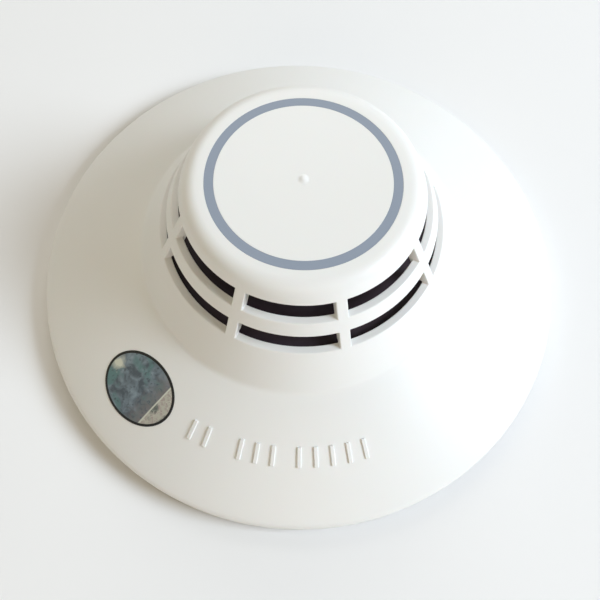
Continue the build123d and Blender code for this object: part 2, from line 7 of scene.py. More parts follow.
import json
import logging
import math
from collections.abc import Callable, Sequence
from dataclasses import dataclass, field
from enum import Enum

import bmesh
import bpy
from mathutils import Matrix, Vector

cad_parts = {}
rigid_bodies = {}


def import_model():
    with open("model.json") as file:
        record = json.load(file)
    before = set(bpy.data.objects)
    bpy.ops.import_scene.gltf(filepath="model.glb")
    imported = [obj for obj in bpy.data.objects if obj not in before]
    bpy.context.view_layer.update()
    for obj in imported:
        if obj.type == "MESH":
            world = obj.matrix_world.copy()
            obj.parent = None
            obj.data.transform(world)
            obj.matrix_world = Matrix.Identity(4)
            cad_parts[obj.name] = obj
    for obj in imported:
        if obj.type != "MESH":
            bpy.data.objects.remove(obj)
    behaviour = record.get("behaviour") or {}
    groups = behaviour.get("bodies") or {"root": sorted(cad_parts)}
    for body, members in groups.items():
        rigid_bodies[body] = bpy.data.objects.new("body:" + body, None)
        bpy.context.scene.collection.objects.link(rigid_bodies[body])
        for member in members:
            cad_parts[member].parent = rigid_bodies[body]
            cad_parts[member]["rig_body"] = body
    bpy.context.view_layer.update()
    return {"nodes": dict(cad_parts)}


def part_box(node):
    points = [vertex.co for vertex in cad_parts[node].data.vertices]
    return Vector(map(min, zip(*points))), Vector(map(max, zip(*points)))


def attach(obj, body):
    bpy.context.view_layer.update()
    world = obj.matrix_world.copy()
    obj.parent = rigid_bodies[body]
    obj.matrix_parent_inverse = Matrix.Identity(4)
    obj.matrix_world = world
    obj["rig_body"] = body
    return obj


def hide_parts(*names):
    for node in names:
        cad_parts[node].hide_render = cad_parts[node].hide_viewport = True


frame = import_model()

MM = 0.001
MIX_FACTOR, MIX_A, MIX_B, MIX_RESULT = 0, 6, 7, 2  # a colour Mix node's sockets
SHARP = math.radians(35)  # an edge that turns by more than this is not shaded smooth
FLAT = math.radians(0.5)  # faces that turn by less than this from each other are one flat face
SAME_POINT = 0.0005 * MM  # points nearer to each other than this are one point
WELD = 0.002 * MM  # a pattern's copies are joined where their points are nearer than this
SECTION = ((-1, -1), (-1, 1), (1, 1), (1, -1))  # a bar's corners, in half widths and half heights
log = logging.getLogger("heat_detector")

Point2 = tuple[float, float]
Mesh, Object, Tree = bpy.types.Mesh, bpy.types.Object, bpy.types.NodeTree
Node, Socket = bpy.types.Node, bpy.types.NodeSocket


class Body(Enum):
    """The rigid bodies that a piece can ride on."""

    BASE = "base"
    DETECTOR = "detector"
    TENS_DIAL = "tens_dial"
    UNITS_DIAL = "units_dial"


class Slot(Enum):
    """The material slots that pieces take their finish from."""

    WHITE_SHELL = "white_shell"
    RING_GREY = "ring_grey"
    OPAL_GUIDE = "opal_guide"
    BLACK_PLASTIC = "black_plastic"
    BASE_PLASTIC = "base_plastic"
    TINNED_BRASS = "tinned_brass"
    BARE_BRASS = "bare_brass"
    PLATED_STEEL = "plated_steel"
    BOARD_GREEN = "board_green"
    CHIP_BLACK = "chip_black"
    CAN_SLEEVE = "can_sleeve"
    GLASS = "glass"
    BEAD_EPOXY = "bead_epoxy"
    LAMP_RED = "lamp_red"
    SWITCH_BLUE = "switch_blue"
    DIAL_CREAM = "dial_cream"


class Band(Enum):
    """What a band of the cover's section is made of, all the way round."""

    WALL = "plain wall"
    RIBBED = "wall with the ribs standing inside it"
    VENT = "open between the ribs"


# ---------------------------------------------------------------- colour, nodes and meshes


def linear(colour: str) -> tuple[float, float, float, float]:
    """Turn an sRGB hex colour into linear values.

    Args:
        colour: Six hex digits with a leading hash.

    Returns:
        Linear red, green and blue, and an alpha of one.
    """
    parts = [int(colour[n : n + 2], 16) / 255 for n in (1, 3, 5)]
    red, green, blue = (c / 12.92 if c <= 0.04045 else ((c + 0.055) / 1.055) ** 2.4 for c in parts)
    return red, green, blue, 1.0


def per_metre(size_mm: float) -> float:
    """Return the texture scale that gives a pattern this many millimetres to a feature."""
    return 1 / (size_mm * MM)


def full_turn(count: int) -> list[float]:
    """Return this many even steps round a full turn, in radians."""
    return [2 * math.pi * n / count for n in range(count)]


def add_node(tree: Tree, kind: str, inputs: dict | None = None, **settings) -> Node:
    """Add a node to a shader or geometry tree.

    Args:
        tree: The tree that the node joins.
        kind: The node's type name.
        inputs: Input names or numbers, each with its value or with the output linked to it.
        **settings: Properties set on the node itself.

    Returns:
        The new node.
    """
    node = tree.nodes.new(kind)
    for key, value in settings.items():
        setattr(node, key, value)
    for key, value in (inputs or {}).items():
        if isinstance(value, Socket):
            tree.links.new(value, node.inputs[key])
        else:
            node.inputs[key].default_value = value
    return node


def shade(mesh: Mesh) -> None:
    """Shade a mesh smooth, except across its sharp edges."""
    mesh.shade_smooth()
    mesh.set_sharp_from_angle(angle=SHARP)


def show(name: str, mesh: Mesh) -> Object:
    """Shade a mesh and stand it in the scene.

    Args:
        name: The new object's name.
        mesh: Its mesh, with its place in it.

    Returns:
        The object, at the origin.
    """
    shade(mesh)
    made = bpy.data.objects.new(name, mesh)
    bpy.context.scene.collection.objects.link(made)
    return made


def make_object(name: str, points: Sequence[Vector], faces: Sequence[Sequence[int]]) -> Object:
    """Make a smooth-shaded mesh object at the origin.

    Args:
        name: The piece's name.
        points: Corner points in metres.
        faces: Corner numbers of each face, anticlockwise seen from outside.

    Returns:
        The object, linked to the scene.
    """
    mesh = bpy.data.meshes.new(name)
    mesh.from_pydata([tuple(point) for point in points], [], [tuple(corners) for corners in faces])
    mesh.validate()
    return show(name, mesh)


def finish_work(name: str, work: bmesh.types.BMesh) -> Object:
    """Make an object of worked geometry and let the work go.

    Args:
        name: The object's name.
        work: The geometry, in metres.

    Returns:
        The object, linked to the scene.
    """
    mesh = bpy.data.meshes.new(name)
    work.to_mesh(mesh)
    work.free()
    return show(name, mesh)


def face_outward(piece: Object) -> Object:
    """Merge a closed mesh's doubles and point its faces outward.

    Args:
        piece: A piece whose mesh is closed once its doubles are merged.

    Returns:
        The same piece.
    """
    work = bmesh.new()
    work.from_mesh(piece.data)
    bmesh.ops.remove_doubles(work, verts=work.verts, dist=SAME_POINT)
    bmesh.ops.recalc_face_normals(work, faces=work.faces)
    work.to_mesh(piece.data)
    work.free()
    shade(piece.data)
    return piece


def skin(name: str, sections: Sequence[Sequence[Vector]], loop: bool = False) -> Object:
    """Join matching sections into one closed solid.

    Args:
        name: The piece's name.
        sections: Each section's points in metres, in the same order.
        loop: Whether the last section meets the first again; a bar's two ends are capped.

    Returns:
        The solid, with its faces outward.
    """
    size = len(sections[0])
    points = [point for section in sections for point in section]
    faces = [] if loop else [tuple(range(size)), tuple(range(len(points) - 1, len(points) - size - 1, -1))]
    for n in range(len(sections) - (not loop)):
        here, there = size * n, size * ((n + 1) % len(sections))
        for k in range(size):
            after = (k + 1) % size
            faces.append((here + k, there + k, there + after, here + after))
    return face_outward(make_object(name, points, faces))


def join(name: str, placed: Sequence[tuple[Mesh, Matrix]]) -> Object:
    """Join placed copies of meshes into one piece.

    Args:
        name: The piece's name.
        placed: Each mesh with the place that its copy goes to.

    Returns:
        The piece, closed and with its faces outward.
    """
    work = bmesh.new()
    for mesh, place in placed:
        start = len(work.verts)
        work.from_mesh(mesh)
        work.verts.ensure_lookup_table()
        bmesh.ops.transform(work, matrix=place, verts=work.verts[start:])
    return face_outward(finish_work(name, work))


def bake_modifiers(piece: Object) -> Object:
    """Turn what a piece's modifiers make into its plain mesh and take the modifiers off.

    Args:
        piece: A piece with modifiers.

    Returns:
        The same piece, without them.
    """
    solid = piece.evaluated_get(bpy.context.evaluated_depsgraph_get())
    mesh = bpy.data.meshes.new_from_object(solid)
    mesh.name = piece.name
    piece.modifiers.clear()
    piece.data = mesh
    return piece


def soften_edges(
    piece: Object,
    width_mm: float,
    share: Callable[[Vector], float] = lambda middle: 1.0,
    segments: int = 3,
) -> Object:
    """Round a piece's sharp edges, as a mould or a press leaves them.

    Args:
        piece: A closed mesh with its faces outward.
        width_mm: The widest rounding.
        share: Gives the part of that width for an edge, from the edge's middle in metres.
        segments: Faces across the rounding.

    Returns:
        The same piece, rounded.
    """
    work = bmesh.new()
    work.from_mesh(piece.data)
    weight = work.edges.layers.float.new("bevel_weight_edge")
    for edge in work.edges:
        if len(edge.link_faces) == 2 and edge.calc_face_angle() > SHARP:
            edge[weight] = share((edge.verts[0].co + edge.verts[1].co) / 2)
            edge.smooth = edge[weight] > 0
    work.to_mesh(piece.data)
    work.free()
    bevel = piece.modifiers.new("soft edges", "BEVEL")
    bevel.width = width_mm * MM
    bevel.segments = segments
    bevel.limit_method = "WEIGHT"
    bevel.use_clamp_overlap = False
    bevel.harden_normals = True
    return bake_modifiers(piece)


def spin_profile(name: str, profile: Sequence[Point2], segments: int) -> Object:
    """Turn a closed (radius, height) outline about the axis.

    Args:
        name: The piece's name.
        profile: Outline points in millimetres; points on the axis become poles.
        segments: Faces round the axis.

    Returns:
        A closed mesh.
    """
    work = bmesh.new()
    rings = []
    for radius, height in profile:
        turns = full_turn(segments) if radius else [0.0]
        places = [Vector((radius * math.cos(a), radius * math.sin(a), height)) * MM for a in turns]
        rings.append([work.verts.new(place) for place in places])
    for lower, upper in zip(rings, rings[1:] + rings[:1]):
        for n in range(segments if len(lower) + len(upper) > 2 else 0):
            pairs = ((lower, n), (lower, n + 1), (upper, n + 1), (upper, n))
            corners = [ring[number % len(ring)] for ring, number in pairs]
            work.faces.new(list(dict.fromkeys(corners)))
    bmesh.ops.recalc_face_normals(work, faces=work.faces)
    return finish_work(name, work)


def round_corner(before: Point2, corner: Point2, after: Point2, radius: float, steps: int) -> list[Point2]:
    """Return the points of a circular arc that rounds one corner of an outline.

    Args:
        before: The outline's point before the corner.
        corner: The corner itself.
        after: The outline's point after it.
        radius: The arc's radius.
        steps: Chords along the arc.

    Returns:
        The arc's points, from the side of `before` to the side of `after`.
    """
    apex = Vector(corner)
    back, on = (Vector(before) - apex).normalized(), (Vector(after) - apex).normalized()
    half = back.angle(on) / 2
    centre = apex + (back + on).normalized() * (radius / math.sin(half))
    start, end = (apex + way * (radius / math.tan(half)) - centre for way in (back, on))
    sweep = start.angle_signed(end)
    turned = [Matrix.Rotation(-sweep * n / steps, 2) @ start for n in range(steps + 1)]
    return [(centre.x + arm.x, centre.y + arm.y) for arm in turned]


def between(start: Point2, end: Point2, steps: int) -> list[Point2]:
    """Return evenly spaced points from start to end, both included."""
    shares = [n / steps for n in range(steps + 1)]
    return [tuple(a + (b - a) * share for a, b in zip(start, end)) for share in shares]


# ---------------------------------------------------------------- patterns made by Geometry Nodes


class PolarPattern:
    """A node tree that repeats one mesh round the detector's axis and welds the copies."""

    def __init__(self) -> None:
        """Build the tree once; each use sets the inputs of its own modifier."""
        self.tree = tree = bpy.data.node_groups.new("polar pattern", "GeometryNodeTree")
        kinds = {
            "Geometry": "Geometry",
            "Count": "Int",
            "First Turn": "Float",
            "Step": "Float",
            "Weld Distance": "Float",
            "Material": "Material",
        }
        self.sockets = {
            name: tree.interface.new_socket(name, in_out="INPUT", socket_type=f"NodeSocket{kind}")
            for name, kind in kinds.items()
        }
        tree.interface.new_socket("Geometry", in_out="OUTPUT", socket_type="NodeSocketGeometry")
        given = add_node(tree, "NodeGroupInput").outputs
        number = add_node(tree, "GeometryNodeInputIndex").outputs[0]
        steps = {0: number, 1: given["Step"], 2: given["First Turn"]}
        turn = add_node(tree, "ShaderNodeMath", steps, operation="MULTIPLY_ADD").outputs[0]
        spin = add_node(tree, "ShaderNodeCombineXYZ", {"Z": turn}).outputs[0]
        places = add_node(tree, "GeometryNodePoints", {"Count": given["Count"]}).outputs[0]
        copies = {"Points": places, "Instance": given["Geometry"], "Rotation": spin}
        shape = add_node(tree, "GeometryNodeInstanceOnPoints", copies).outputs[0]
        shape = add_node(tree, "GeometryNodeRealizeInstances", {0: shape}).outputs[0]
        weld = {"Geometry": shape, "Distance": given["Weld Distance"]}
        shape = add_node(tree, "GeometryNodeMergeByDistance", weld).outputs[0]
        dress = {"Geometry": shape, "Material": given["Material"]}
        shape = add_node(tree, "GeometryNodeSetMaterial", dress).outputs[0]
        add_node(tree, "NodeGroupOutput", {0: shape})

    def apply(
        self,
        piece: Object,
        count: int,
        material: bpy.types.Material,
        first: float,
        step: float | None = None,
    ) -> Object:
        """Repeat a piece and make the result its plain mesh.

        Args:
            piece: One copy, in the place of azimuth 0.
            count: Number of copies.
            material: Finish of the result.
            first: Azimuth of the first copy in degrees.
            step: Degrees from one copy to the next; a full even ring when left out.

        Returns:
            The piece, with all its copies in one mesh.
        """
        values = {
            "Count": count,
            "First Turn": math.radians(first),
            "Step": math.radians(360 / count if step is None else step),
            "Weld Distance": WELD,
            "Material": material,
        }
        piece.data.materials.append(material)
        modifier = piece.modifiers.new("pattern", "NODES")
        modifier.node_group = self.tree
        for name, value in values.items():
            modifier[self.sockets[name].identifier] = value
        return bake_modifiers(piece)


# ---------------------------------------------------------------- finishes


def lay_tones(tree: Tree, under: str | Socket, *tones: tuple[Socket, float, float, str | Socket]) -> Socket:
    """Lay tones over a colour one by one, each where its own pattern is strong.

    Args:
        tree: The material's tree.
        under: The colour beneath, as sRGB hex or as an output.
        *tones: For each tone its pattern, the pattern's values where the tone begins and where it
            covers all, and the tone itself, as sRGB hex or as an output.

    Returns:
        The output that gives the whole colour.
    """
    for pattern, begins, covers, over in tones:
        reach = {"Value": pattern, "From Min": begins, "From Max": covers}
        factor = add_node(tree, "ShaderNodeMapRange", reach).outputs[0]
        sides = [linear(side) if isinstance(side, str) else side for side in (under, over)]
        blend = {MIX_FACTOR: factor, MIX_A: sides[0], MIX_B: sides[1]}
        under = add_node(tree, "ShaderNodeMix", blend, data_type="RGBA").outputs[MIX_RESULT]
    return under


@dataclass(frozen=True)
class Finish:
    """What every finish has: a name, a colour, a second tone that clouds it, and how rough it is."""

    name: str
    colour: str
    tone: str
    roughness: float

    def material(self) -> bpy.types.Material:
        """Make the finish's material.

        Returns:
            The material, with the finish's surface on its output.
        """
        made = bpy.data.materials.new(self.name)
        made.use_nodes = True
        tree = made.node_tree
        tree.nodes.clear()
        place = add_node(tree, "ShaderNodeTexCoord").outputs["Object"]
        add_node(tree, "ShaderNodeOutputMaterial", {"Surface": self.surface(tree, place).outputs[0]})
        return made

    def surface(self, tree: Tree, place: Socket) -> Node:
        """Add the surface's own nodes to a tree, on Object coordinates, and return its shader."""
        raise NotImplementedError(self.name)


@dataclass(frozen=True)
class MouldedPlastic(Finish):
    """Injection-moulded thermoplastic with the grain of a spark-eroded mould.

    The real grain is finer than 0.2 mm and is drawn coarser, so that it shows.
    """

    grain_mm: float = 0.35
    grain_depth_mm: float = 0.004
    cloud_mm: float = 28.0
    sheen_swing: float = 0.05
    ior: float = 1.53
    glow: float = 0.0
    glow_depth_mm: float = 1.2

    def surface(self, tree: Tree, place: Socket) -> Node:
        """Add a soft sheen, faint clouds in the colour and a fine grain.

        Args:
            tree: The material's tree.
            place: Object coordinates.

        Returns:
            The shader.
        """
        clouds, grain = (
            add_node(tree, "ShaderNodeTexNoise", look | {"Vector": place}).outputs["Fac"]
            for look in (
                {"Scale": per_metre(self.cloud_mm), "Detail": 4.0, "Roughness": 0.55},
                {"Scale": per_metre(self.grain_mm), "Detail": 3.0, "Roughness": 0.6},
            )
        )
        low, high = self.roughness - self.sheen_swing, self.roughness + self.sheen_swing
        sheen = {"Value": grain, "To Min": low, "To Max": high}
        relief = {"Height": grain, "Distance": self.grain_depth_mm * MM, "Strength": 1.0}
        return add_node(tree, "ShaderNodeBsdfPrincipled", {
            "Base Color": lay_tones(tree, self.colour, (clouds, 0.0, 1.0, self.tone)),
            "Roughness": add_node(tree, "ShaderNodeMapRange", sheen).outputs[0],
            "Normal": add_node(tree, "ShaderNodeBump", relief).outputs[0],
            "IOR": self.ior,
            "Subsurface Weight": self.glow,
            "Subsurface Scale": self.glow_depth_mm * MM,
        })


@dataclass(frozen=True)
class DrawnMetal(Finish):
    """Sheet or bar metal with the long lines of rolling or drawing, dulled in spots.

    The real lines are finer than 0.05 mm and are drawn coarser, so that they show.
    """

    line_mm: float = 0.12
    line_stretch: tuple[float, float, float] = (0.06, 1.0, 1.0)
    line_depth_mm: float = 0.003
    spot_mm: float = 1.8
    spots: Point2 = (0.52, 0.78)
    sheen_swing: Point2 = (0.08, 0.1)

    def surface(self, tree: Tree, place: Socket) -> Node:
        """Add a satin metal with long fine lines and faint tarnish.

        Args:
            tree: The material's tree.
            place: Object coordinates.

        Returns:
            The shader.
        """
        drawn = add_node(tree, "ShaderNodeMapping", {"Vector": place, "Scale": self.line_stretch})
        lines, spots = (
            add_node(tree, "ShaderNodeTexNoise", look).outputs["Fac"]
            for look in (
                {"Vector": drawn.outputs[0], "Scale": per_metre(self.line_mm), "Detail": 3.0},
                {"Vector": place, "Scale": per_metre(self.spot_mm), "Detail": 5.0, "Roughness": 0.65},
            )
        )
        smoother, rougher = self.sheen_swing
        low, high = self.roughness - smoother, self.roughness + rougher
        sheen = {"Value": lines, "To Min": low, "To Max": high}
        relief = {"Height": lines, "Distance": self.line_depth_mm * MM, "Strength": 0.6}
        return add_node(tree, "ShaderNodeBsdfPrincipled", {
            "Base Color": lay_tones(tree, self.colour, (spots, *self.spots, self.tone)),
            "Metallic": 1.0,
            "Roughness": add_node(tree, "ShaderNodeMapRange", sheen).outputs[0],
            "Normal": add_node(tree, "ShaderNodeBump", relief).outputs[0],
        })


@dataclass(frozen=True)
class GlossyBody(Finish):
    """Dense glossy plastic, resin or lens, with a little depth and faint swirls in its colour."""

    clear: float = 0.0
    coat: float = 0.3
    swirl_mm: float = 3.0
    swirl_depth_mm: float = 0.01
    ior: float = 1.5

    def surface(self, tree: Tree, place: Socket) -> Node:
        """Add a wet-looking skin over a coloured or clear body.

        Args:
            tree: The material's tree.
            place: Object coordinates.

        Returns:
            The shader.
        """
        look = {"Vector": place, "Scale": per_metre(self.swirl_mm), "Detail": 3.0, "Distortion": 0.8}
        swirls = add_node(tree, "ShaderNodeTexNoise", look).outputs["Fac"]
        relief = {"Height": swirls, "Distance": self.swirl_depth_mm * MM, "Strength": 0.5}
        return add_node(tree, "ShaderNodeBsdfPrincipled", {
            "Base Color": lay_tones(tree, self.colour, (swirls, 0.0, 1.0, self.tone)),
            "Roughness": self.roughness,
            "Normal": add_node(tree, "ShaderNodeBump", relief).outputs[0],
            "IOR": self.ior,
            "Transmission Weight": self.clear,
            "Coat Weight": self.coat,
            "Coat Roughness": 0.08,
        })


@dataclass(frozen=True)
class SolderResist(Finish):
    """Glass-epoxy board under green solder resist, with copper tracks showing through as ridges."""

    track_mm: float = 0.7
    track_height_mm: float = 0.035
    track_jitter: float = 0.75
    track_fold: float = 0.22
    track_edge: Point2 = (0.09, 0.12)
    weave_mm: float = 0.45
    weave_depth_mm: float = 0.006

    def surface(self, tree: Tree, place: Socket) -> Node:
        """Add satin green lacquer, lighter over tracks that run square to the board.

        Args:
            tree: The material's tree.
            place: Object coordinates.

        Returns:
            The shader.
        """
        look = {"Vector": place, "Scale": per_metre(4 * self.track_mm), "Randomness": self.track_jitter}
        cells = add_node(tree, "ShaderNodeTexVoronoi", look, distance="CHEBYCHEV").outputs["Distance"]
        folded = {0: cells, 1: self.track_fold}
        rings = add_node(tree, "ShaderNodeMath", folded, operation="PINGPONG").outputs[0]
        low, high = self.track_edge
        reach = {"Value": rings, "From Min": low, "From Max": high}
        tracks = add_node(tree, "ShaderNodeMapRange", reach).outputs[0]
        look = {"Vector": place, "Scale": per_metre(self.weave_mm), "Detail": 2.0}
        weave = add_node(tree, "ShaderNodeTexNoise", look).outputs["Fac"]
        relief = {"Height": tracks, "Distance": self.track_height_mm * MM, "Strength": 1.0}
        raised = add_node(tree, "ShaderNodeBump", relief).outputs[0]
        relief = {"Height": weave, "Distance": self.weave_depth_mm * MM, "Normal": raised}
        return add_node(tree, "ShaderNodeBsdfPrincipled", {
            "Base Color": lay_tones(tree, self.colour, (tracks, 0.0, 1.0, self.tone)),
            "Roughness": self.roughness,
            "Normal": add_node(tree, "ShaderNodeBump", relief).outputs[0],
            "Coat Weight": 0.25,
        })


@dataclass(frozen=True)
class MetallisedFilm(Finish):
    """Old aluminised label film: clouded grey, teal and violet, crazed pale past a straight crease, with
    painted highlights.
    """

    patch_mm: float = 3.2
    stain_mm: float = 5.5
    speck_mm: float = 0.9
    centre: Point2 = (-42.0, -43.7)
    crease_turn: float = -46.7
    crease_offset: float = 6.4
    crease_width: Point2 = (0.3, 0.1)
    bright_patch: tuple[float, float, float] = (-9.6, 0.2, 0.0)
    patch_edge: Point2 = (4.8, 3.2)
    craze_mm: float = 4 / 3
    relief_mm: float = 0.08
    teal: str = "#67878a"
    umber: str = "#837f80"
    pale: str = "#c3c3b7"
    blush: str = "#b3a7a2"
    blot: str = "#6f7672"
    # Pale colour of the painted highlights, also given to the film's cracks
    glint: str = "#d9dcd0"

    def surface(self, tree: Tree, place: Socket) -> Node:
        """Add clouded film on one side of the crease and crazed film on the other, with painted highlights.

        Args:
            tree: The material's tree.
            place: Object coordinates.

        Returns:
            The shader.
        """
        # Millimetres on the label, with X square to the crease
        settings = {
            "Vector": place,
            "Location": Vector((*self.centre, 0.0)) * MM,
            "Rotation": (0, 0, math.radians(self.crease_turn)),
            "Scale": (MM, MM, MM),
        }
        local = add_node(tree, "ShaderNodeMapping", settings, vector_type="TEXTURE").outputs[0]
        patches, stains, specks = (
            add_node(tree, "ShaderNodeTexNoise", look | {"Vector": local}).outputs["Fac"]
            for look in (
                {"Scale": 1 / self.patch_mm, "Detail": 5.0, "Distortion": 0.7},
                {"Scale": 1 / self.stain_mm, "Detail": 3.0, "Distortion": 0.5},
                {"Scale": 1 / self.speck_mm, "Detail": 5.0, "Distortion": 0.0},
            )
        )
        look = {"Vector": local, "Scale": 1 / self.craze_mm}
        lines = add_node(tree, "ShaderNodeTexVoronoi", look, feature="DISTANCE_TO_EDGE").outputs["Distance"]
        across = add_node(tree, "ShaderNodeSeparateXYZ", {0: local}).outputs[0]
        level = {0: local, 1: (1, 1, 0)}
        flat = add_node(tree, "ShaderNodeVectorMath", level, operation="MULTIPLY").outputs[0]
        # Distance from the centre of the painted highlight spot, in the label's plane
        off = add_node(tree, "ShaderNodeVectorMath", {0: flat, 1: self.bright_patch}, operation="DISTANCE")
        past = {0: across, 1: self.crease_offset}
        crease = add_node(tree, "ShaderNodeMath", past, operation="SUBTRACT").outputs[0]
        # Where the film wears, where the painted highlight spot lies and where the film crazes, each made
        # ragged by the specks or the patches
        worn, bright, crazed = (
            add_node(tree, "ShaderNodeMath", {0: rough, 1: by, 2: edge}, operation="MULTIPLY_ADD").outputs[0]
            for rough, by, edge in (
                (specks, -6.0, across),
                (patches, 5.0, off.outputs["Value"]),
                (specks, 0.5, crease),
            )
        )
        fine, kept = (
            add_node(tree, "ShaderNodeMapRange", reach).outputs[0]
            for reach in (
                {"Value": lines, "From Min": 0.06, "From Max": 0.0},
                {"Value": specks, "From Min": 0.35, "From Max": 0.6},
            )
        )
        cracks = add_node(tree, "ShaderNodeMath", {0: fine, 1: kept}, operation="MULTIPLY").outputs[0]
        # Distance from the crease line, where a painted highlight runs
        crease_highlight = add_node(tree, "ShaderNodeMath", {0: crease}, operation="ABSOLUTE").outputs[0]
        clouded = lay_tones(
            tree,
            self.colour,
            (patches, 0.36, 0.66, self.tone),
            (stains, 0.52, 0.64, self.teal),
            (worn, -2.0, 4.0, self.umber),
            (specks, 0.56, 0.72, self.colour),
            # A painted highlight spot, in the pale highlight colour
            (bright, *self.patch_edge, self.glint),
        )
        pale = lay_tones(
            tree,
            self.pale,
            (specks, 0.42, 0.62, self.blush),
            (stains, 0.55, 0.62, self.blot),
            (cracks, 0.0, 1.0, self.glint),
        )
        # Past the crease the crazed film, and along the crease a painted highlight
        whole = lay_tones(tree, clouded, (crazed, 0.1, 0.4, pale), (crease_highlight, *self.crease_width, self.glint))
        relief = {"Height": patches, "Distance": self.relief_mm * MM, "Strength": 0.7}
        normal = add_node(tree, "ShaderNodeBump", relief).outputs[0]
        film = {"Base Color": whole, "Metallic": 0.3, "Roughness": self.roughness, "Normal": normal}
        return add_node(tree, "ShaderNodeBsdfPrincipled", film)


@dataclass(frozen=True)
class StudioFloor(Finish):
    """Matt paint on a floor that thins out with distance, so that it has no edge against the horizon."""

    cloud_mm: float = 400.0
    fade_mm: Point2 = (250.0, 1000.0)

    def surface(self, tree: Tree, place: Socket) -> Node:
        """Add even matt paint, solid round the detector and clear far off.

        Args:
            tree: The material's tree.
            place: Object coordinates.

        Returns:
            The shader.
        """
        look = {"Vector": place, "Scale": per_metre(self.cloud_mm)}
        clouds = add_node(tree, "ShaderNodeTexNoise", look).outputs["Fac"]
        colour = lay_tones(tree, self.colour, (clouds, 0.0, 1.0, self.tone))
        paint = {"Base Color": colour, "Roughness": self.roughness}
        shader = add_node(tree, "ShaderNodeBsdfPrincipled", paint)
        out = add_node(tree, "ShaderNodeVectorMath", {0: place}, operation="LENGTH").outputs["Value"]
        near, far = (distance * MM for distance in self.fade_mm)
        reach = {"Value": out, "From Min": near, "From Max": far}
        fade = add_node(tree, "ShaderNodeMapRange", reach, interpolation_type="SMOOTHSTEP")
        clear = add_node(tree, "ShaderNodeBsdfTransparent")
        mixed = {0: fade.outputs[0], 1: shader.outputs[0], 2: clear.outputs[0]}
        return add_node(tree, "ShaderNodeMixShader", mixed)


# ABS, moulded against a spark-eroded tool: a clean white with a soft sheen
SHELL_ABS = MouldedPlastic("moulded_abs_white", "#e9e9e6", "#e6e6e2", 0.42, glow=0.04)
# The same ABS with a coarser grain where it is out of sight: greyer and duller
BASE_ABS = MouldedPlastic("moulded_abs_base_white", "#e0e0db", "#dadad4", 0.5, grain_mm=0.5)
# ABS coloured blue-grey in the mass and pressed in flush: an even matt band
RING_ABS = MouldedPlastic("moulded_abs_blue_grey", "#8d97a6", "#8893a2", 0.5, cloud_mm=12.0)
# Polycarbonate tinted nearly black: dark behind the vents, a little plum where light falls on it
SHIELD_PC = MouldedPlastic("moulded_polycarbonate_black", "#2e1d29", "#26181f", 0.58)
# Acrylic with a white filler: a soft opal tip that hardly stands out from the crown
GUIDE_ACRYLIC = GlossyBody("opal_acrylic", "#ebebe9", "#e8e8e5", 0.36, coat=0.0)
# Rolled brass strip, tinned matt: a pale, slightly warm grey metal
TINNED_BRASS = DrawnMetal("tinned_brass_strip", "#c9c6bb", "#a9a69a", 0.34)
# Brass bar, turned and left bare: yellow, browner in spots
BARE_BRASS = DrawnMetal("turned_brass", "#c9a45c", "#9c7b41", 0.3)
# Cold-formed steel, zinc plated: a cool bright grey, a little mottled
ZINC_STEEL = DrawnMetal("zinc_plated_steel", "#bfc3c6", "#9aa0a2", 0.3, spot_mm=0.9)
# Pressed glass-epoxy laminate, lacquered: satin green with lighter, raised tracks
BOARD = SolderResist("glass_epoxy_board", "#1c5a35", "#276a40", 0.34)
# Transfer-moulded epoxy package: dull near-black
CHIP_EPOXY = MouldedPlastic("moulded_epoxy_package", "#1b1b1d", "#222224", 0.62, grain_mm=0.2)
# PVC sleeve, shrunk over the can: glossy dark blue
CAN_SLEEVE = GlossyBody("shrunk_pvc_sleeve", "#1a2440", "#141d36", 0.28)
# Drawn soda-lime glass tube, sealed at its ends: clear, with a faint green in it
REED_GLASS = GlossyBody("soda_glass_tube", "#d9e2da", "#cfdcd2", 0.04, clear=0.9, coat=0.0, ior=1.52)
# Epoxy, dipped and cured as a drop: a wet-looking black
BEAD_EPOXY = GlossyBody("dipped_epoxy_bead", "#17171a", "#232226", 0.22)
# Cast epoxy lens, dyed through: deep clear red
LAMP_EPOXY = GlossyBody("red_lamp_epoxy", "#a31a14", "#8c120e", 0.12, clear=0.35, coat=0.1)
# Glass-filled polyester, moulded: flat dark blue
SWITCH_PBT = MouldedPlastic("moulded_polyester_blue", "#24406f", "#1f3862", 0.4, grain_mm=0.2)
# Nylon, moulded and left uncoloured: a warm cream
DIAL_NYLON = MouldedPlastic("moulded_nylon_cream", "#ddd6bf", "#d5cdb4", 0.45, grain_mm=0.2)
# Polyester film with a skin of aluminium, aged: a cloudy grey mirror, crazed pale past its crease, with a
# painted highlight spot and a painted highlight along the crease
LABEL_FILM = MetallisedFilm("metallised_polyester_film", "#59646e", "#90a1ad", 0.38)
# Screen-printed ink: black, slightly raised
LABEL_INK = MouldedPlastic("screen_ink_black", "#0f171b", "#191817", 0.45, grain_mm=0.15, cloud_mm=9.0)
# Rolled matt white paint: an even pale ground that runs out into the horizon
FLOOR_PAINT = StudioFloor("matt_floor_paint", "#ebebea", "#eaeae9", 0.9)


@dataclass(frozen=True)
class PartLook:
    """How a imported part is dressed: its finish, its slot and the rounding of its edges in millimetres."""

    finish: Finish
    slot: Slot
    rounding: float = 0.0


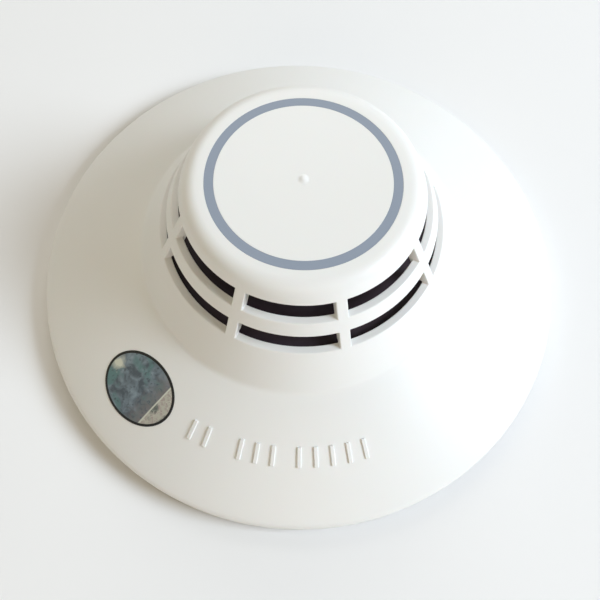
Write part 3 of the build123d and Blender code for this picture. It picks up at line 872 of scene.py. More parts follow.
PART_LOOKS = {
    "detector_cover": PartLook(SHELL_ABS, Slot.WHITE_SHELL),
    "marking_ring": PartLook(RING_ABS, Slot.RING_GREY, 0.05),
    "light_guide": PartLook(GUIDE_ACRYLIC, Slot.OPAL_GUIDE),
    "inner_shield": PartLook(SHIELD_PC, Slot.BLACK_PLASTIC, 0.15),
    "rear_chassis": PartLook(BASE_ABS, Slot.BASE_PLASTIC, 0.2),
    "mounting_base": PartLook(BASE_ABS, Slot.BASE_PLASTIC, 0.25),
    "contact_blade": PartLook(TINNED_BRASS, Slot.TINNED_BRASS, 0.06),
    "contact_clip": PartLook(TINNED_BRASS, Slot.TINNED_BRASS, 0.05),
    "blade_rivets": PartLook(BARE_BRASS, Slot.BARE_BRASS, 0.12),
    "chassis_screws": PartLook(ZINC_STEEL, Slot.PLATED_STEEL, 0.12),
    "terminal_screws": PartLook(ZINC_STEEL, Slot.PLATED_STEEL, 0.12),
    "wire_clamps": PartLook(ZINC_STEEL, Slot.PLATED_STEEL, 0.12),
    "circuit_board": PartLook(BOARD, Slot.BOARD_GREEN, 0.08),
    "microcontroller": PartLook(CHIP_EPOXY, Slot.CHIP_BLACK, 0.12),
    "capacitors": PartLook(CAN_SLEEVE, Slot.CAN_SLEEVE, 0.35),
    "reed_switch": PartLook(REED_GLASS, Slot.GLASS),
    "indicator_lamp": PartLook(LAMP_EPOXY, Slot.LAMP_RED, 0.1),
    "sensing_thermistor": PartLook(BEAD_EPOXY, Slot.BEAD_EPOXY),
    "reference_thermistor": PartLook(BEAD_EPOXY, Slot.BEAD_EPOXY),
    "address_switches": PartLook(SWITCH_PBT, Slot.SWITCH_BLUE, 0.2),
    "address_dial": PartLook(DIAL_NYLON, Slot.DIAL_CREAM, 0.12),
}


class Finishes:
    """Makes each finish's material once and hands it out."""

    def __init__(self) -> None:
        """Start with no material made."""
        self.made: dict[str, bpy.types.Material] = {}

    def of(self, finish: Finish) -> bpy.types.Material:
        """Give out a finish's material, which is made on its first use.

        Args:
            finish: The finish.

        Returns:
            Its material.
        """
        if finish.name not in self.made:
            self.made[finish.name] = finish.material()
        return self.made[finish.name]

    def dress(self, piece: Object, finish: Finish) -> Object:
        """Give a piece one finish all over.

        Args:
            piece: The piece.
            finish: Its finish.

        Returns:
            The same piece.
        """
        piece.data.materials.clear()
        piece.data.materials.append(self.of(finish))
        return piece

    def dress_packed_parts(self) -> None:
        """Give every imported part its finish, chosen by the start of its name."""
        for name, part in frame["nodes"].items():
            look = next(look for start, look in PART_LOOKS.items() if name.startswith(start))
            for part_slot in part.material_slots:
                part_slot.material = self.of(look.finish)
            log.info("finished %s in %s", name, look.finish.name)
            if look.rounding:
                self.soften_part(name, part, look)

    def soften_part(self, name: str, part: Object, look: PartLook) -> None:
        """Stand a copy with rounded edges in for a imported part.

        Args:
            name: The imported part's name.
            part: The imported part, which is left as it is.
            look: Its finish, slot and rounding.
        """
        work = bmesh.new()
        work.from_mesh(part.data)
        bmesh.ops.remove_doubles(work, verts=work.verts, dist=SAME_POINT)
        bmesh.ops.dissolve_limit(work, angle_limit=FLAT, verts=work.verts, edges=work.edges)
        piece = soften_edges(finish_work(f"{name}_softened", work), look.rounding, segments=2)
        flat = piece.modifiers.new("flat faces stay flat", "WEIGHTED_NORMAL")
        flat.keep_sharp = True
        self.dress(bake_modifiers(piece), look.finish)
        fit(piece, Body(part["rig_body"]), look.slot, name)


def fit(piece: Object, body: Body, slot: Slot, *replaced: str) -> None:
    """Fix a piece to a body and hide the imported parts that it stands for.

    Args:
        piece: A finished piece.
        body: The rigid body it moves with.
        slot: The slot that its finish belongs to; not used.
        *replaced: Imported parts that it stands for.
    """
    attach(piece, body.value)
    if replaced:
        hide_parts(*replaced)
    log.info("fitted %s on %s: %d faces", piece.name, body.value, len(piece.data.polygons))


# ---------------------------------------------------------------- the cover


@dataclass(frozen=True)
class FlangeArc:
    """The flange's outer section: one shallow arc from the foot of the head down to the rim."""

    rim: Point2 = (77.5, 6.0)
    foot: Point2 = (45.3, 23.0)
    bulge: float = 0.8

    @property
    def radius(self) -> float:
        """Radius of the arc."""
        chord = math.dist(self.rim, self.foot)
        return (chord**2 / 4 + self.bulge**2) / (2 * self.bulge)

    @property
    def centre(self) -> Vector:
        """Centre of the arc in (radius, height)."""
        outward = Vector((self.foot[1] - self.rim[1], self.rim[0] - self.foot[0])).normalized()
        return (Vector(self.rim) + Vector(self.foot)) / 2 - outward * (self.radius - self.bulge)

    def height(self, radius: float) -> float:
        """Height of the flange's face at a radius from the axis."""
        return self.centre.y + math.sqrt(self.radius**2 - (radius - self.centre.x) ** 2)

    def fall(self, radius: float) -> float:
        """Angle by which the face falls away outward at a radius, in radians."""
        return math.asin((radius - self.centre.x) / self.radius)

    def point(self, radius: float, azimuth: float, lift: float) -> Vector:
        """Return a point over the flange.

        Args:
            radius: Millimetres from the axis.
            azimuth: Degrees about the axis.
            lift: Millimetres off the face, square to it.

        Returns:
            The point in metres.
        """
        fall, a = self.fall(radius), math.radians(azimuth)
        out = radius + lift * math.sin(fall)
        up = self.height(radius) + lift * math.cos(fall)
        return Vector((out * math.cos(a), out * math.sin(a), up)) * MM


@dataclass(frozen=True)
class Station:
    """One ring of the cover's section: its outer point, the wall's inner one and the ribs' inner one."""

    outer: Point2
    wall: Point2
    rib: Point2
    band: Band = Band.WALL

    def level(self, depth: int) -> Point2:
        """Return the point at depth 0, the outside, 1, inside the wall, or 2, inside a rib."""
        return (self.outer, self.wall, self.rib)[depth]


@dataclass
class Cover:
    """The white moulding: flange, vent ring and crown in one, tied together by eight ribs."""

    finishes: Finishes
    flange: FlangeArc = field(default_factory=FlangeArc)
    rim_lift: float = 1.0
    rim_fillet: float = 2.5
    rim_wall: float = 2.0
    rim_underside: float = 3.74
    rim_flat: float = 1.0
    inner_fillet: float = 0.8
    seat: Point2 = (47.0, 19.84)
    seat_steps: int = 4
    shell_steps: int = 2
    shell_inner_radius: float = 43.25
    foot_fillet: float = 3.0
    vent_top_radius: float = 31.0
    vent_top: float = 48.5
    vent_height: float = 5.1
    vent_ring_height: float = 3.9
    head_taper: float = 0.5
    wall: float = 2.0
    lip: float = 2.05
    crown_flat_radius: float = 29.2
    crown_fillet: float = 4.6
    crown_rib_depth: float = 0.5
    crown_inner_flare: Point2 = (0.6, 1.0)
    crown_inner_inset: float = 0.4
    groove: Point2 = (21.8, 24.1)
    groove_depth: float = 0.8
    groove_stagger: float = 0.3
    disc_radii: tuple[float, ...] = (19.0, 15.5, 12.0, 9.0, 6.5, 4.5, 3.0)
    guide_hole: float = 1.5
    rib_count: int = 8
    rib_width: float = 2.9
    rib_even_from: float = 25.2
    rib_depth: float = 3.2
    rib_azimuth: float = 18.7
    rib_cells: int = 2
    vent_cells: int = 16
    arc_steps: int = 16
    corner_reach: float = 2.0
    corner_steps: int = 6
    crown_steps: int = 8
    wall_steps: int = 3
    edge_round: float = 0.3
    edge_margin: float = 0.1
    groove_round_share: float = 0.35
    crown: float = field(init=False)

    def __post_init__(self) -> None:
        """Take the crown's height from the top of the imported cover."""
        self.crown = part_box("detector_cover")[1].z / MM

    @property
    def sill(self) -> Point2:
        """Radius and height of the lower vents' bottom edge."""
        height = self.vent_top - 2 * self.vent_height - self.vent_ring_height
        return self.head_radius(height), height

    def head_radius(self, height: float) -> float:
        """Outer radius of the vented head's cone at a height."""
        return self.vent_top_radius + self.head_taper * (self.vent_top - height)

    def on_flange(self, radius: float) -> Point2:
        """Radius and height of the flange's face at a radius."""
        return radius, self.flange.height(radius)

    def along_flange(self, start: float, end: float) -> list[Point2]:
        """Return the points of the flange's face between two radii, without the two ends."""
        step = (end - start) / self.arc_steps
        return [self.on_flange(start + step * n) for n in range(1, self.arc_steps)]

    def flange_outside(self) -> list[Point2]:
        """Lay out the flange's outer points.

        Returns:
            The points from the rim's bottom edge to the sill of the lower vents.
        """
        rim, foot, reach, steps = self.flange.rim, self.flange.foot, self.corner_reach, self.corner_steps
        inward, outward = self.on_flange(rim[0] - reach), self.on_flange(foot[0] + reach)
        rim_corner = round_corner((rim[0], 0.0), rim, inward, self.rim_fillet, steps)
        foot_corner = round_corner(outward, foot, self.sill, self.foot_fillet, steps)
        return [
            (rim[0], self.rim_lift),
            (rim[0], self.rim_underside - self.rim_flat),
            *rim_corner,
            *self.along_flange(rim_corner[-1][0], foot_corner[0][0]),
            *foot_corner,
            *between(foot_corner[-1], self.sill, self.wall_steps)[1:],
        ]

    def flange_inside(self) -> list[Point2]:
        """Lay out the flange's inner points.

        Returns:
            The points that match the outer ones, one for one.
        """
        radius, underside, reach = self.flange.rim[0] - self.rim_wall, self.rim_underside, self.corner_reach
        edge = (radius, underside)
        inward = (radius - reach, underside + reach * math.tan(self.flange.fall(radius)))
        corner = round_corner((radius, 0.0), edge, inward, self.inner_fillet, self.corner_steps)
        start, seat, shell = corner[-1], self.seat, self.shell_inner_radius
        # The wall's thickness changes evenly from the rim to the chassis's seat
        rim_drop = self.flange.height(start[0]) - start[1]
        gain = self.flange.height(seat[0]) - seat[1] - rim_drop
        under = [
            (r, z - rim_drop - gain * (radius - r) / (start[0] - seat[0]))
            for r, z in self.along_flange(start[0], seat[0])
        ]
        foot = (shell, self.flange.foot[1])
        sill_radius, sill = self.sill
        return [
            (radius, self.rim_lift),
            (radius, underside - self.rim_flat),
            *corner,
            *under,
            *between(seat, (shell, seat[1]), self.seat_steps),
            *between((shell, seat[1]), foot, self.shell_steps)[1:],
            *between(foot, (sill_radius - self.lip, sill), self.wall_steps)[1:],
        ]

    def vent_stations(self) -> list[Station]:
        """Lay out the two rows of vents and the ring between them.

        Returns:
            Their stations, from the sill up.
        """
        sill = self.sill[1]
        heights = (sill, sill + self.vent_height, self.vent_top - self.vent_height, self.vent_top)
        bands = (Band.VENT, Band.RIBBED, Band.VENT, Band.RIBBED)
        stations = []
        for height, band in zip(heights, bands):
            radius = self.head_radius(height)
            wall = radius - (self.lip if height == sill else self.wall)
            rib = (radius - self.rib_depth, height)
            stations.append(Station((radius, height), (wall, height), rib, band))
        return stations

    def crown_stations(self) -> list[Station]:
        """Lay out the crown, from its wall over its rounded edge to the light guide's hole.

        Returns:
            Its stations, from the wall inwards.
        """
        top, under, steps = self.crown, self.crown - self.wall, self.crown_steps
        shoulder = (self.crown_flat_radius, top)
        wall_top = (self.vent_top_radius, self.vent_top)
        edge = round_corner(wall_top, shoulder, (0.0, top), self.crown_fillet, steps)
        inner_radius = self.crown_flat_radius - self.wall
        out, down = self.crown_inner_flare
        inner = between((inner_radius + out, under - down), (inner_radius, under), self.wall_steps)
        last = (edge[-1][0] - self.crown_inner_inset, under)
        inner += between((inner_radius, under), last, steps - self.wall_steps)[1:]
        depth, pairs = self.crown_rib_depth, zip(edge, inner, strict=True)
        stations = [Station(outer, wall, (wall[0] - depth, wall[1])) for outer, wall in pairs]
        low, high = self.groove
        floor, aside = top - self.groove_depth, self.groove_stagger
        rings = [(high, top, aside), (high, floor, -aside), (low, floor, aside), (low, top, -aside)]
        rings += [(radius, top, 0.0) for radius in (*self.disc_radii, self.guide_hole)]
        for radius, height, moved in rings:
            below = (radius + moved, under)
            stations.append(Station((radius, height), below, below))
        return stations

    def column(self, number: int, point: Point2) -> Vector:
        """Place a point of the section in one of the sector's columns.

        Args:
            number: Column, from 0 at the near side of the rib.
            point: Radius and height of the point.

        Returns:
            The point in metres, for a rib centred on azimuth 0.
        """
        radius = min(max(point[0], self.rib_even_from), self.flange.foot[0])
        half = math.asin(self.rib_width / 2 / radius)
        if number <= self.rib_cells:
            turn = math.asin(self.rib_width * (number / self.rib_cells - 0.5) / radius)
        else:
            gap = 2 * math.pi / self.rib_count - 2 * half
            turn = half + gap * (number - self.rib_cells) / self.vent_cells
        return Vector((point[0] * math.cos(turn), point[0] * math.sin(turn), point[1])) * MM

    def depth(self, band: Band, column: int) -> int:
        """Return how deep the material goes in a cell: 0 where it is open, 2 in a rib, 1 elsewhere."""
        in_rib = column < self.rib_cells and band is not Band.WALL
        return 2 if in_rib else int(band is not Band.VENT)

    def sector(self) -> Object:
        """Build one rib and the vents beside it, from the rim to the crown's middle.

        Returns:
            The sector, open where the next ones join it.
        """
        flange = [
            Station(out, wall, wall)
            for out, wall in zip(self.flange_outside(), self.flange_inside(), strict=True)
        ]
        stations = flange[:-1] + self.vent_stations() + self.crown_stations()
        columns = self.rib_cells + self.vent_cells
        points: list[Vector] = []
        numbers: dict[tuple[int, int, int], int] = {}
        faces: list[list[int]] = []

        def corner(row: int, column: int, level: int) -> int:
            """Number a corner of the sector, which is made on first use.

            Args:
                row: The corner's station.
                column: Its column.
                level: Its depth.

            Returns:
                The number of its point.
            """
            key = (row, column, level)
            if key not in numbers:
                numbers[key] = len(points)
                points.append(self.column(column, stations[row].level(level)))
            return numbers[key]

        def cell(row: int, column: int) -> int:
            """Return a cell's depth; the rows past both ends are open and the columns wrap round."""
            inside = 0 <= row < len(stations) - 1
            return self.depth(stations[row].band, column % columns) if inside else 0

        def add_sides(here: int, there: int, *line: tuple[int, int]) -> None:
            """Close the steps between the depths of two neighbouring cells.

            Args:
                here: Depth of the one cell.
                there: Depth of the other.
                *line: Row and column of both ends of the line that they share.
            """
            first, last = line
            for level in range(min(here, there), max(here, there)):
                loop = ((first, level), (last, level), (last, level + 1), (first, level + 1))
                side = [corner(*place, depth) for place, depth in loop]
                faces.append(side if there > here else side[::-1])

        for row in range(len(stations)):
            for column in range(columns):
                here, start = cell(row, column), (row, column)
                if here:
                    quad = [start, (row, column + 1), (row + 1, column + 1), (row + 1, column)]
                    faces.append([corner(*place, 0) for place in quad])
                    faces.append([corner(*place, here) for place in reversed(quad)])
                add_sides(here, cell(row - 1, column), start, (row, column + 1))
                add_sides(cell(row, column - 1), here, start, (row + 1, column))
        return make_object("cover_moulding", points, faces)

    def edge_share(self, middle: Vector) -> float:
        """Round the ring's groove less than the vents, and leave the guide's hole sharp.

        Args:
            middle: An edge's middle in metres.

        Returns:
            The part of the full rounding that the edge gets.
        """
        if math.hypot(middle.x, middle.y) / MM < self.guide_hole + self.edge_margin:
            return 0.0
        in_crown = middle.z / MM > self.crown - self.groove_depth - self.edge_margin
        return self.groove_round_share if in_crown else 1.0

    def build(self, pattern: PolarPattern) -> None:
        """Build the whole moulding from its sector and round its edges.

        Args:
            pattern: What repeats the sector.
        """
        material = self.finishes.of(SHELL_ABS)
        piece = face_outward(pattern.apply(self.sector(), self.rib_count, material, first=self.rib_azimuth))
        soften_edges(piece, self.edge_round, self.edge_share)
        fit(piece, Body.DETECTOR, Slot.WHITE_SHELL, "detector_cover")


@dataclass
class Stiffeners:
    """The ribs that stiffen the flange from below, tapering towards the rim."""

    finishes: Finishes
    flange: FlangeArc
    count: int = 16
    width: float = 1.2
    inner: float = 54.0
    outer: float = 73.0
    below_face: float = 2.1
    inner_foot: float = 13.1
    outer_foot: float = 2.95
    edge_round: float = 0.2

    def build(self, pattern: PolarPattern) -> None:
        """Build the ring of ribs, whose tops are just inside the flange's wall.

        Args:
            pattern: What repeats the rib.
        """
        inner_top, outer_top = (self.flange.height(r) - self.below_face for r in (self.inner, self.outer))
        outline = (
            (self.inner, inner_top),
            (self.outer, outer_top),
            (self.outer, self.outer_foot),
            (self.inner, self.inner_foot),
        )
        sides = [[Vector((r, side * self.width / 2, z)) * MM for r, z in outline] for side in (-1, 1)]
        piece = soften_edges(skin("flange_stiffeners", sides), self.edge_round)
        pattern.apply(piece, self.count, self.finishes.of(SHELL_ABS), first=180 / self.count)
        fit(piece, Body.DETECTOR, Slot.WHITE_SHELL)


@dataclass
class GuideRod:
    """The light guide, whose tip swells gently out of the crown's middle."""

    finishes: Finishes
    radius: float = 1.49
    collar_radius: float = 2.4
    collar_height: float = 1.0
    tip_share: float = 0.78
    tip_steps: int = 12
    segments: int = 64

    def build(self, cover: Cover) -> None:
        """Build the guide as a turned rod whose tip rises from the crown without a crease.

        Args:
            cover: The moulding that the rod stands in.
        """
        low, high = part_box("light_guide")
        rise, top = high.z / MM - cover.crown, cover.crown - cover.wall
        foot = top - self.collar_height
        profile = [(0.0, low.z / MM), (self.radius, low.z / MM), (self.radius, foot)]
        profile += [(self.collar_radius, foot), (self.collar_radius, top), (self.radius, top)]
        for n in range(self.tip_steps + 1):
            share = 1 - n / self.tip_steps
            profile.append((self.radius * share, cover.crown + rise * self.tip_share * (1 - share**2) ** 2))
        piece = self.finishes.dress(spin_profile("guide_rod", profile, self.segments), GUIDE_ACRYLIC)
        fit(piece, Body.DETECTOR, Slot.OPAL_GUIDE, "light_guide")


# ---------------------------------------------------------------- what the flange carries


@dataclass
class FlangeMarks:
    """Plain raised bars moulded on the flange in an arc, in groups of two, three and five."""

    finishes: Finishes
    flange: FlangeArc
    inner: float = 57.9
    outer: float = 62.9
    width: float = 1.15
    rise: float = 0.4
    sunk: float = 0.3
    edge_round: float = 0.22
    steps: int = 6
    groups: tuple[tuple[int, float], ...] = ((2, -116.2), (3, -103.2), (5, -88.4))
    pitch: float = 4.15

    def bar(self, name: str) -> Object:
        """Build one bar at azimuth 0, lying along the flange.

        Args:
            name: The bar's name.

        Returns:
            The bar, with rounded edges.
        """
        half = Vector((0, self.width / 2, 0)) * MM
        lifts = {-1: -self.sunk, 1: self.rise}
        radii = [self.inner + (self.outer - self.inner) * n / self.steps for n in range(self.steps + 1)]
        bar = skin(name, [
            [self.flange.point(r, 0.0, lifts[up]) + side * half for side, up in SECTION] for r in radii
        ])
        return soften_edges(bar, self.edge_round)

    def build(self, pattern: PolarPattern) -> None:
        """Build the three groups of bars.

        Args:
            pattern: What repeats a bar along its group.
        """
        for number, (count, first) in enumerate(self.groups, start=1):
            piece = self.bar(f"raised_bars_{number}")
            pattern.apply(piece, count, self.finishes.of(SHELL_ABS), first=first, step=self.pitch)
            fit(piece, Body.DETECTOR, Slot.WHITE_SHELL)


@dataclass
class FoilLabel:
    """A plain oval of metallised film on the flange, bound by a dark edging."""

    finishes: Finishes
    flange: FlangeArc
    radius: float = 60.8
    azimuth: float = -134.05
    turn: float = -5.5
    long_half: float = 11.5
    short_half: float = 9.33
    edging_width: float = 0.68
    edging_overhang: float = 0.03
    edging_rise: float = 0.03
    edging_round: float = 0.02
    thickness: float = 0.08
    rings: int = 10
    segments: int = 96

    def place(self, share: float, around: float, inset: float, lift: float) -> Vector:
        """Return a point of the oval, rolled onto the flange as flat film is.

        Args:
            share: Part of the way from the middle to the edge.
            around: Angle round the oval in radians.
            inset: Millimetres in from the full oval.
            lift: Millimetres off the flange.

        Returns:
            The point in metres.
        """
        along = (self.long_half - inset) * share * math.cos(around)
        across = (self.short_half - inset) * share * math.sin(around)
        flat = Matrix.Rotation(math.radians(self.turn), 2) @ Vector((along, across))
        fall, arc = self.flange.fall(self.radius), self.flange.radius
        apex = self.radius / math.cos(fall)
        slant = math.hypot(flat.x, apex + flat.y)
        radius = self.flange.centre.x + arc * math.sin(fall + (slant - apex) / arc)
        turn = math.atan2(flat.x, apex + flat.y) / math.cos(fall)
        return self.flange.point(radius, self.azimuth + math.degrees(turn), lift)

    def build_film(self) -> None:
        """Build the film as a thin closed sheet."""
        size, turns = self.segments, full_turn(self.segments)
        points = [self.place(0, 0, 0, self.thickness)]
        for ring in range(1, self.rings + 1):
            points += [self.place(ring / self.rings, a, 0, self.thickness) for a in turns]
        points += [self.place(1, a, 0, -self.thickness) for a in turns]
        points.append(self.place(0, 0, 0, -self.thickness))
        last = len(points) - 1
        faces = []
        for n in range(size):
            after = (n + 1) % size
            faces += [(0, 1 + n, 1 + after), (last - size + n, last, last - size + after)]
            for start in range(1, 1 + self.rings * size, size):
                faces.append((start + n, start + size + n, start + size + after, start + after))
        piece = self.finishes.dress(face_outward(make_object("foil_label", points, faces)), LABEL_FILM)
        fit(piece, Body.DETECTOR, Slot.PLATED_STEEL)

    def build_edging(self) -> None:
        """Build the dark edging as a thin band that wraps the film's edge."""
        outer, soft, top = -self.edging_overhang, self.edging_round, self.thickness + self.edging_rise
        corners = [(outer, -self.thickness), (outer, top - soft), (soft, top)]
        corners += [(self.edging_width, top), (self.edging_width, self.thickness - soft)]
        turns = full_turn(self.segments)
        sections = [[self.place(1, a, inset, lift) for inset, lift in corners] for a in turns]
        piece = self.finishes.dress(skin("foil_label_edging", sections, loop=True), LABEL_INK)
        fit(piece, Body.DETECTOR, Slot.BLACK_PLASTIC)

    def build(self) -> None:
        """Build the film and its edging."""
        self.build_film()
        self.build_edging()


# ---------------------------------------------------------------- small fittings behind the cover


@dataclass
class Figures:
    """Plain raised figures: ten digits round each address dial and one beside each terminal."""

    finishes: Finishes
    digit_size: float = 2.1
    digit_count: int = 10
    dial_ring: float = 6.1
    dial_face: float = 8.5
    number_size: float = 3.2
    number_radius: float = 29.0
    number_aside: float = 12.5
    terminal_azimuths: tuple[float, ...] = (45.0, 135.0, 225.0, 315.0)
    floor: float = 3.0
    rise: float = 0.2
    curve_steps: int = 3

    def figure(self, text: str, size: float) -> Mesh:
        """Draw one figure that stands out of the plane z = 0.

        Args:
            text: The figure.
            size: Its size in millimetres.

        Returns:
            The figure as a mesh.
        """
        curve = bpy.data.curves.new(f"figure_{text}", "FONT")
        curve.body, curve.size, curve.extrude = text, size * MM, self.rise * MM
        curve.resolution_u = self.curve_steps
        curve.align_x, curve.align_y = "CENTER", "CENTER"
        holder = bpy.data.objects.new(curve.name, curve)
        bpy.context.scene.collection.objects.link(holder)
        solid = holder.evaluated_get(bpy.context.evaluated_depsgraph_get())
        mesh = bpy.data.meshes.new_from_object(solid)
        bpy.data.objects.remove(holder)
        return mesh

    def build_dial_digits(self) -> None:
        """Set 0 to 9 round each dial on the chassis, to be read from behind."""
        placed = []
        outward = Matrix.Translation((0, self.dial_ring * MM, 0)) @ Matrix.Rotation(math.pi, 4, "Y")
        for dial in ("address_dial_tens", "address_dial_units"):
            low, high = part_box(dial)
            middle = Matrix.Translation(((low.x + high.x) / 2, (low.y + high.y) / 2, self.dial_face * MM))
            for digit, angle in enumerate(full_turn(self.digit_count)):
                place = middle @ Matrix.Rotation(angle, 4, "Z") @ outward
                placed.append((self.figure(str(digit), self.digit_size), place))
        piece = self.finishes.dress(join("dial_digits", placed), LABEL_INK)
        fit(piece, Body.DETECTOR, Slot.BLACK_PLASTIC)

    def build_terminal_numbers(self) -> None:
        """Set 1 to 4 beside the terminals on the base's floor."""
        placed = []
        out = Matrix.Translation(Vector((0, self.number_radius, self.floor)) * MM)
        for number, azimuth in enumerate(self.terminal_azimuths, start=1):
            turn = Matrix.Rotation(math.radians(azimuth + self.number_aside - 90), 4, "Z")
            placed.append((self.figure(str(number), self.number_size), turn @ out))
        piece = self.finishes.dress(join("terminal_numbers", placed), BASE_ABS)
        fit(piece, Body.BASE, Slot.BASE_PLASTIC)

    def build(self) -> None:
        """Build both sets of figures."""
        self.build_dial_digits()
        self.build_terminal_numbers()


@dataclass
class BoardFittings:
    """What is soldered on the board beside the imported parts: legs, the reed and its leads, resistors."""

    finishes: Finishes
    leg_count: int = 8
    leg_pitch: float = 0.8
    leg_width: float = 0.35
    leg_thickness: float = 0.15
    leg_reaches: tuple[float, ...] = (-0.2, 0.4, 0.65, 1.2)
    reed_radius: float = 1.1
    reed_taper: float = 1.2
    reed_shoulder: float = 0.86
    reed_neck: float = 0.43
    reed_end: float = 0.25
    reed_segments: int = 32
    lead_radius: float = 0.28
    lead_bend: tuple[Point2, ...] = ((-1.2, 0.0), (1.6, 0.0), (2.1, -0.25))
    lead_reach: float = 2.6
    lead_segments: int = 12
    resistor: tuple[float, float, float] = (2.0, 1.25, 0.55)
    resistor_cap: float = 0.4
    resistor_cap_proud: float = 0.04
    resistor_round: float = 0.07
    resistor_circle: float = 29.5
    resistor_count: int = 12
    resistor_azimuth: float = 15.0

    def build_legs(self) -> None:
        """Build the legs that stand out of the chip's four sides and turn down to the board."""
        low, high = (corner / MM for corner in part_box("microcontroller"))
        half, middle, foot = (high.x - low.x) / 2, (high.z - low.z) / 2, self.leg_thickness / 2
        heights = (middle, middle, foot, foot)
        leg = skin("chip_leg", [
            [Vector((half + x, side * self.leg_width / 2, z + up * foot)) * MM for side, up in SECTION]
            for x, z in zip(self.leg_reaches, heights)
        ])
        centre = Matrix.Translation(Vector(((low.x + high.x) / 2, (low.y + high.y) / 2, low.z)) * MM)
        placed = []
        for angle in full_turn(4):
            for n in range(self.leg_count):
                along = Matrix.Translation((0, (n - (self.leg_count - 1) / 2) * self.leg_pitch * MM, 0))
                placed.append((leg.data, centre @ Matrix.Rotation(angle, 4, "Z") @ along))
        piece = self.finishes.dress(join("chip_legs", placed), TINNED_BRASS)
        bpy.data.objects.remove(leg)
        fit(piece, Body.DETECTOR, Slot.TINNED_BRASS)

    def build_reed(self) -> None:
        """Build the reed switch: a glass tube drawn in at its ends, with a lead out of each."""
        low, high = (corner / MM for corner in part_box("reed_switch"))
        half, place = (high.x - low.x) / 2, Matrix.Translation((low + high) / 2 * MM)
        end = [
            (self.reed_radius, half - self.reed_taper),
            (self.reed_radius * self.reed_shoulder, half - self.reed_taper / 2),
            (self.reed_neck, half - self.reed_end),
            (0.0, half),
        ]
        outline = [(radius, -out) for radius, out in reversed(end)] + end
        glass = spin_profile("reed_glass", outline, self.reed_segments)
        glass.data.transform(place @ Matrix.Rotation(math.pi / 2, 4, "Y"))
        fit(self.finishes.dress(glass, REED_GLASS), Body.DETECTOR, Slot.GLASS, "reed_switch")

        # The lead's last section lies flat on the board, and the others stand across the lead
        turns = full_turn(self.lead_segments)
        across = [Vector((0, math.cos(a), math.sin(a))) * self.lead_radius for a in turns]
        foot = Vector((self.lead_reach, 0, self.lead_radius - (high.z - low.z) / 2))
        places = [(Vector((x, 0, z)), across) for x, z in self.lead_bend]
        places.append((foot, [arm.zyx for arm in across]))
        out = Vector((half, 0, 0))
        lead = skin("reed_lead", [[(out + middle + arm) * MM for arm in arms] for middle, arms in places])
        sides = [(lead.data, place @ Matrix.Rotation(angle, 4, "Z")) for angle in full_turn(2)]
        leads = self.finishes.dress(join("reed_leads", sides), TINNED_BRASS)
        bpy.data.objects.remove(lead)
        fit(leads, Body.DETECTOR, Slot.TINNED_BRASS)

    def build_resistors(self, pattern: PolarPattern) -> None:
        """Build a ring of chip resistors with tinned ends.

        Args:
            pattern: What repeats them.
        """
        length, width, height = self.resistor
        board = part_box("circuit_board")[1].z / MM
        outer, inner, cap = length / 2, length / 2 - self.resistor_cap, self.resistor_cap_proud
        kinds = (
            ("resistor_bodies", (-inner, inner), 0.0, CHIP_EPOXY, Slot.CHIP_BLACK),
            ("resistor_ends", (-outer, -inner), cap, TINNED_BRASS, Slot.TINNED_BRASS),
            ("resistor_far_ends", (inner, outer), cap, TINNED_BRASS, Slot.TINNED_BRASS),
        )
        for name, span, proud, finish, slot in kinds:
            half, levels = width / 2 + proud, {-1: board, 1: board + height + proud}
            corners = [(self.resistor_circle + side * half, levels[up]) for side, up in SECTION]
            piece = skin(name, [[Vector((x, along, z)) * MM for x, z in corners] for along in span])
            soften_edges(piece, self.resistor_round, segments=2)
            pattern.apply(piece, self.resistor_count, self.finishes.of(finish), first=self.resistor_azimuth)
            fit(piece, Body.DETECTOR, slot)

    def build(self, pattern: PolarPattern) -> None:
        """Build the legs, the reed switch and the resistors.

        Args:
            pattern: What repeats a resistor round the board.
        """
        self.build_legs()
        self.build_reed()
        self.build_resistors(pattern)


# ---------------------------------------------------------------- light, floor and camera


@dataclass(frozen=True)
class SoftLight:
    """A square soft light that hangs round the detector and faces it."""

    name: str
    turn: float
    rise: float
    distance: float
    size: float
    watts: float
    colour: str

    def build(self) -> None:
        """Hang the light at its turn and rise, both in degrees, and its distance in metres."""
        lamp = bpy.data.lights.new(self.name, "AREA")
        lamp.size = self.size
        lamp.energy = self.watts
        lamp.color = linear(self.colour)[:3]
        turn, rise = math.radians(self.turn), math.radians(self.rise)
        place = Vector((math.cos(rise) * math.cos(turn), math.cos(rise) * math.sin(turn), math.sin(rise)))
        holder = bpy.data.objects.new(self.name, lamp)
        holder.location = place * self.distance
        holder.rotation_euler = (-place).to_track_quat("-Z", "Y").to_euler()
        bpy.context.scene.collection.objects.link(holder)


# Cool daylight from a window on the right, and weaker light off the walls behind, in front and on the left
LIGHTS = (
    SoftLight("window", -8.0, 34.0, 2.0, 0.8, 44.7, "#e4f0fe"),
    SoftLight("far_wall", 90.0, 40.0, 1.5, 1.0, 8.6, "#fcfbf8"),
    SoftLight("near_wall", -90.0, 40.0, 1.5, 1.0, 5.4, "#ffecd2"),
    SoftLight("warm_wall", 170.0, 38.0, 1.3, 1.2, 2.0, "#fff0b8"),
)


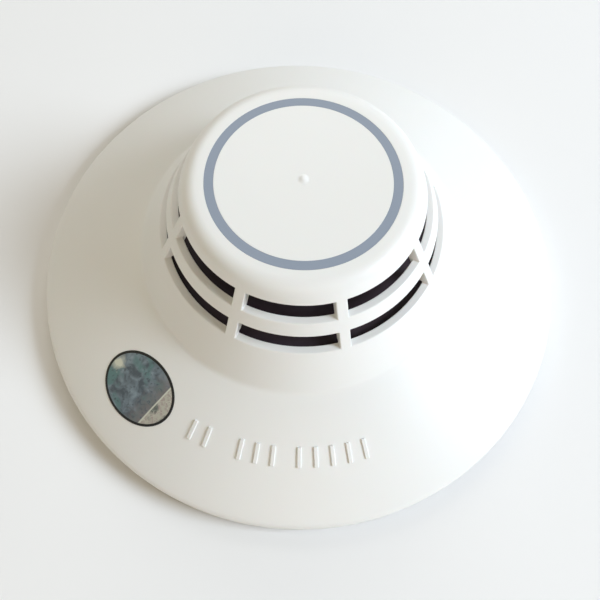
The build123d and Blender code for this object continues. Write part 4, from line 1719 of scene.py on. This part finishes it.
@dataclass
class Studio:
    """A plain pale floor that runs out into a pale horizon, under a dim sky and four soft lights."""

    finishes: Finishes
    floor_half: float = 3.0
    floor_drop: float = 0.0002
    sky: str = "#fff9ef"
    sky_strength: float = 0.13
    horizon_strength: float = 0.8
    horizon_rise: Point2 = (5.0, 13.0)

    def build_sky(self) -> bpy.types.World:
        """Build the sky, which is bright at the horizon and dim above it.

        Returns:
            The world that lights the scene.
        """
        world = bpy.data.worlds.new("soft_sky")
        world.use_nodes = True
        tree = world.node_tree
        tree.nodes.clear()
        way = add_node(tree, "ShaderNodeTexCoord").outputs["Generated"]
        up = add_node(tree, "ShaderNodeSeparateXYZ", {0: way}).outputs[2]
        low, high = (math.sin(math.radians(rise)) for rise in self.horizon_rise)
        reach = {"Value": up, "From Min": low, "From Max": high}
        fade = reach | {"To Min": self.horizon_strength, "To Max": self.sky_strength}
        strength = add_node(tree, "ShaderNodeMapRange", fade).outputs[0]
        sky = add_node(tree, "ShaderNodeBackground", {"Color": linear(self.sky), "Strength": strength})
        add_node(tree, "ShaderNodeOutputWorld", {"Surface": sky.outputs[0]})
        return world

    def build(self) -> None:
        """Build the floor, the sky and the lights."""
        corners = ((-1, -1), (1, -1), (1, 1), (-1, 1))
        points = [Vector((x * self.floor_half, y * self.floor_half, -self.floor_drop)) for x, y in corners]
        floor = self.finishes.dress(make_object("studio_floor", points, [(0, 1, 2, 3)]), FLOOR_PAINT)
        bpy.context.scene.world = self.build_sky()
        bpy.context.scene.view_settings.view_transform = "Standard"
        for light in LIGHTS:
            light.build()


@dataclass(frozen=True)
class ViewCamera:
    """The camera: close above the front, looking down at the crown with a slight lean."""

    distance: float = 201.39
    elevation: float = 64.854
    orbit_height: float = 5.0
    aim: tuple[float, float, float] = (0.34, -11.83, 5.0)
    lean: float = -2.503
    lens: float = 38.86
    sensor: float = 36.0

    def build(self) -> None:
        """Place the camera and make it the scene's."""
        data = bpy.data.cameras.new("view_camera")
        data.lens = self.lens
        data.sensor_width = self.sensor
        data.clip_start = 0.01
        rise = math.radians(self.elevation)
        back = Vector((0.0, -math.cos(rise), math.sin(rise))) * self.distance
        place = (back + Vector((0, 0, self.orbit_height))) * MM
        forward = (Vector(self.aim) * MM - place).normalized()
        level = forward.cross(Vector((0, 0, 1))).normalized()
        turned = Matrix((level, level.cross(forward), -forward)).transposed().to_4x4()
        camera = bpy.data.objects.new("view_camera", data)
        lean = Matrix.Rotation(-math.radians(self.lean), 4, "Z")
        camera.matrix_world = Matrix.Translation(place) @ turned @ lean
        bpy.context.scene.collection.objects.link(camera)
        bpy.context.scene.camera = camera


def main() -> None:
    """Build every sub-assembly in order and set the studio round it."""
    logging.basicConfig(level=logging.INFO, format="%(name)s: %(message)s")
    finishes, pattern = Finishes(), PolarPattern()
    cover = Cover(finishes)
    ViewCamera().build()
    Studio(finishes).build()
    finishes.dress_packed_parts()
    cover.build(pattern)
    Stiffeners(finishes, cover.flange).build(pattern)
    GuideRod(finishes).build(cover)
    FlangeMarks(finishes, cover.flange).build(pattern)
    FoilLabel(finishes, cover.flange).build()
    Figures(finishes).build()
    BoardFittings(finishes).build(pattern)


if __name__ == "__main__":
    main()
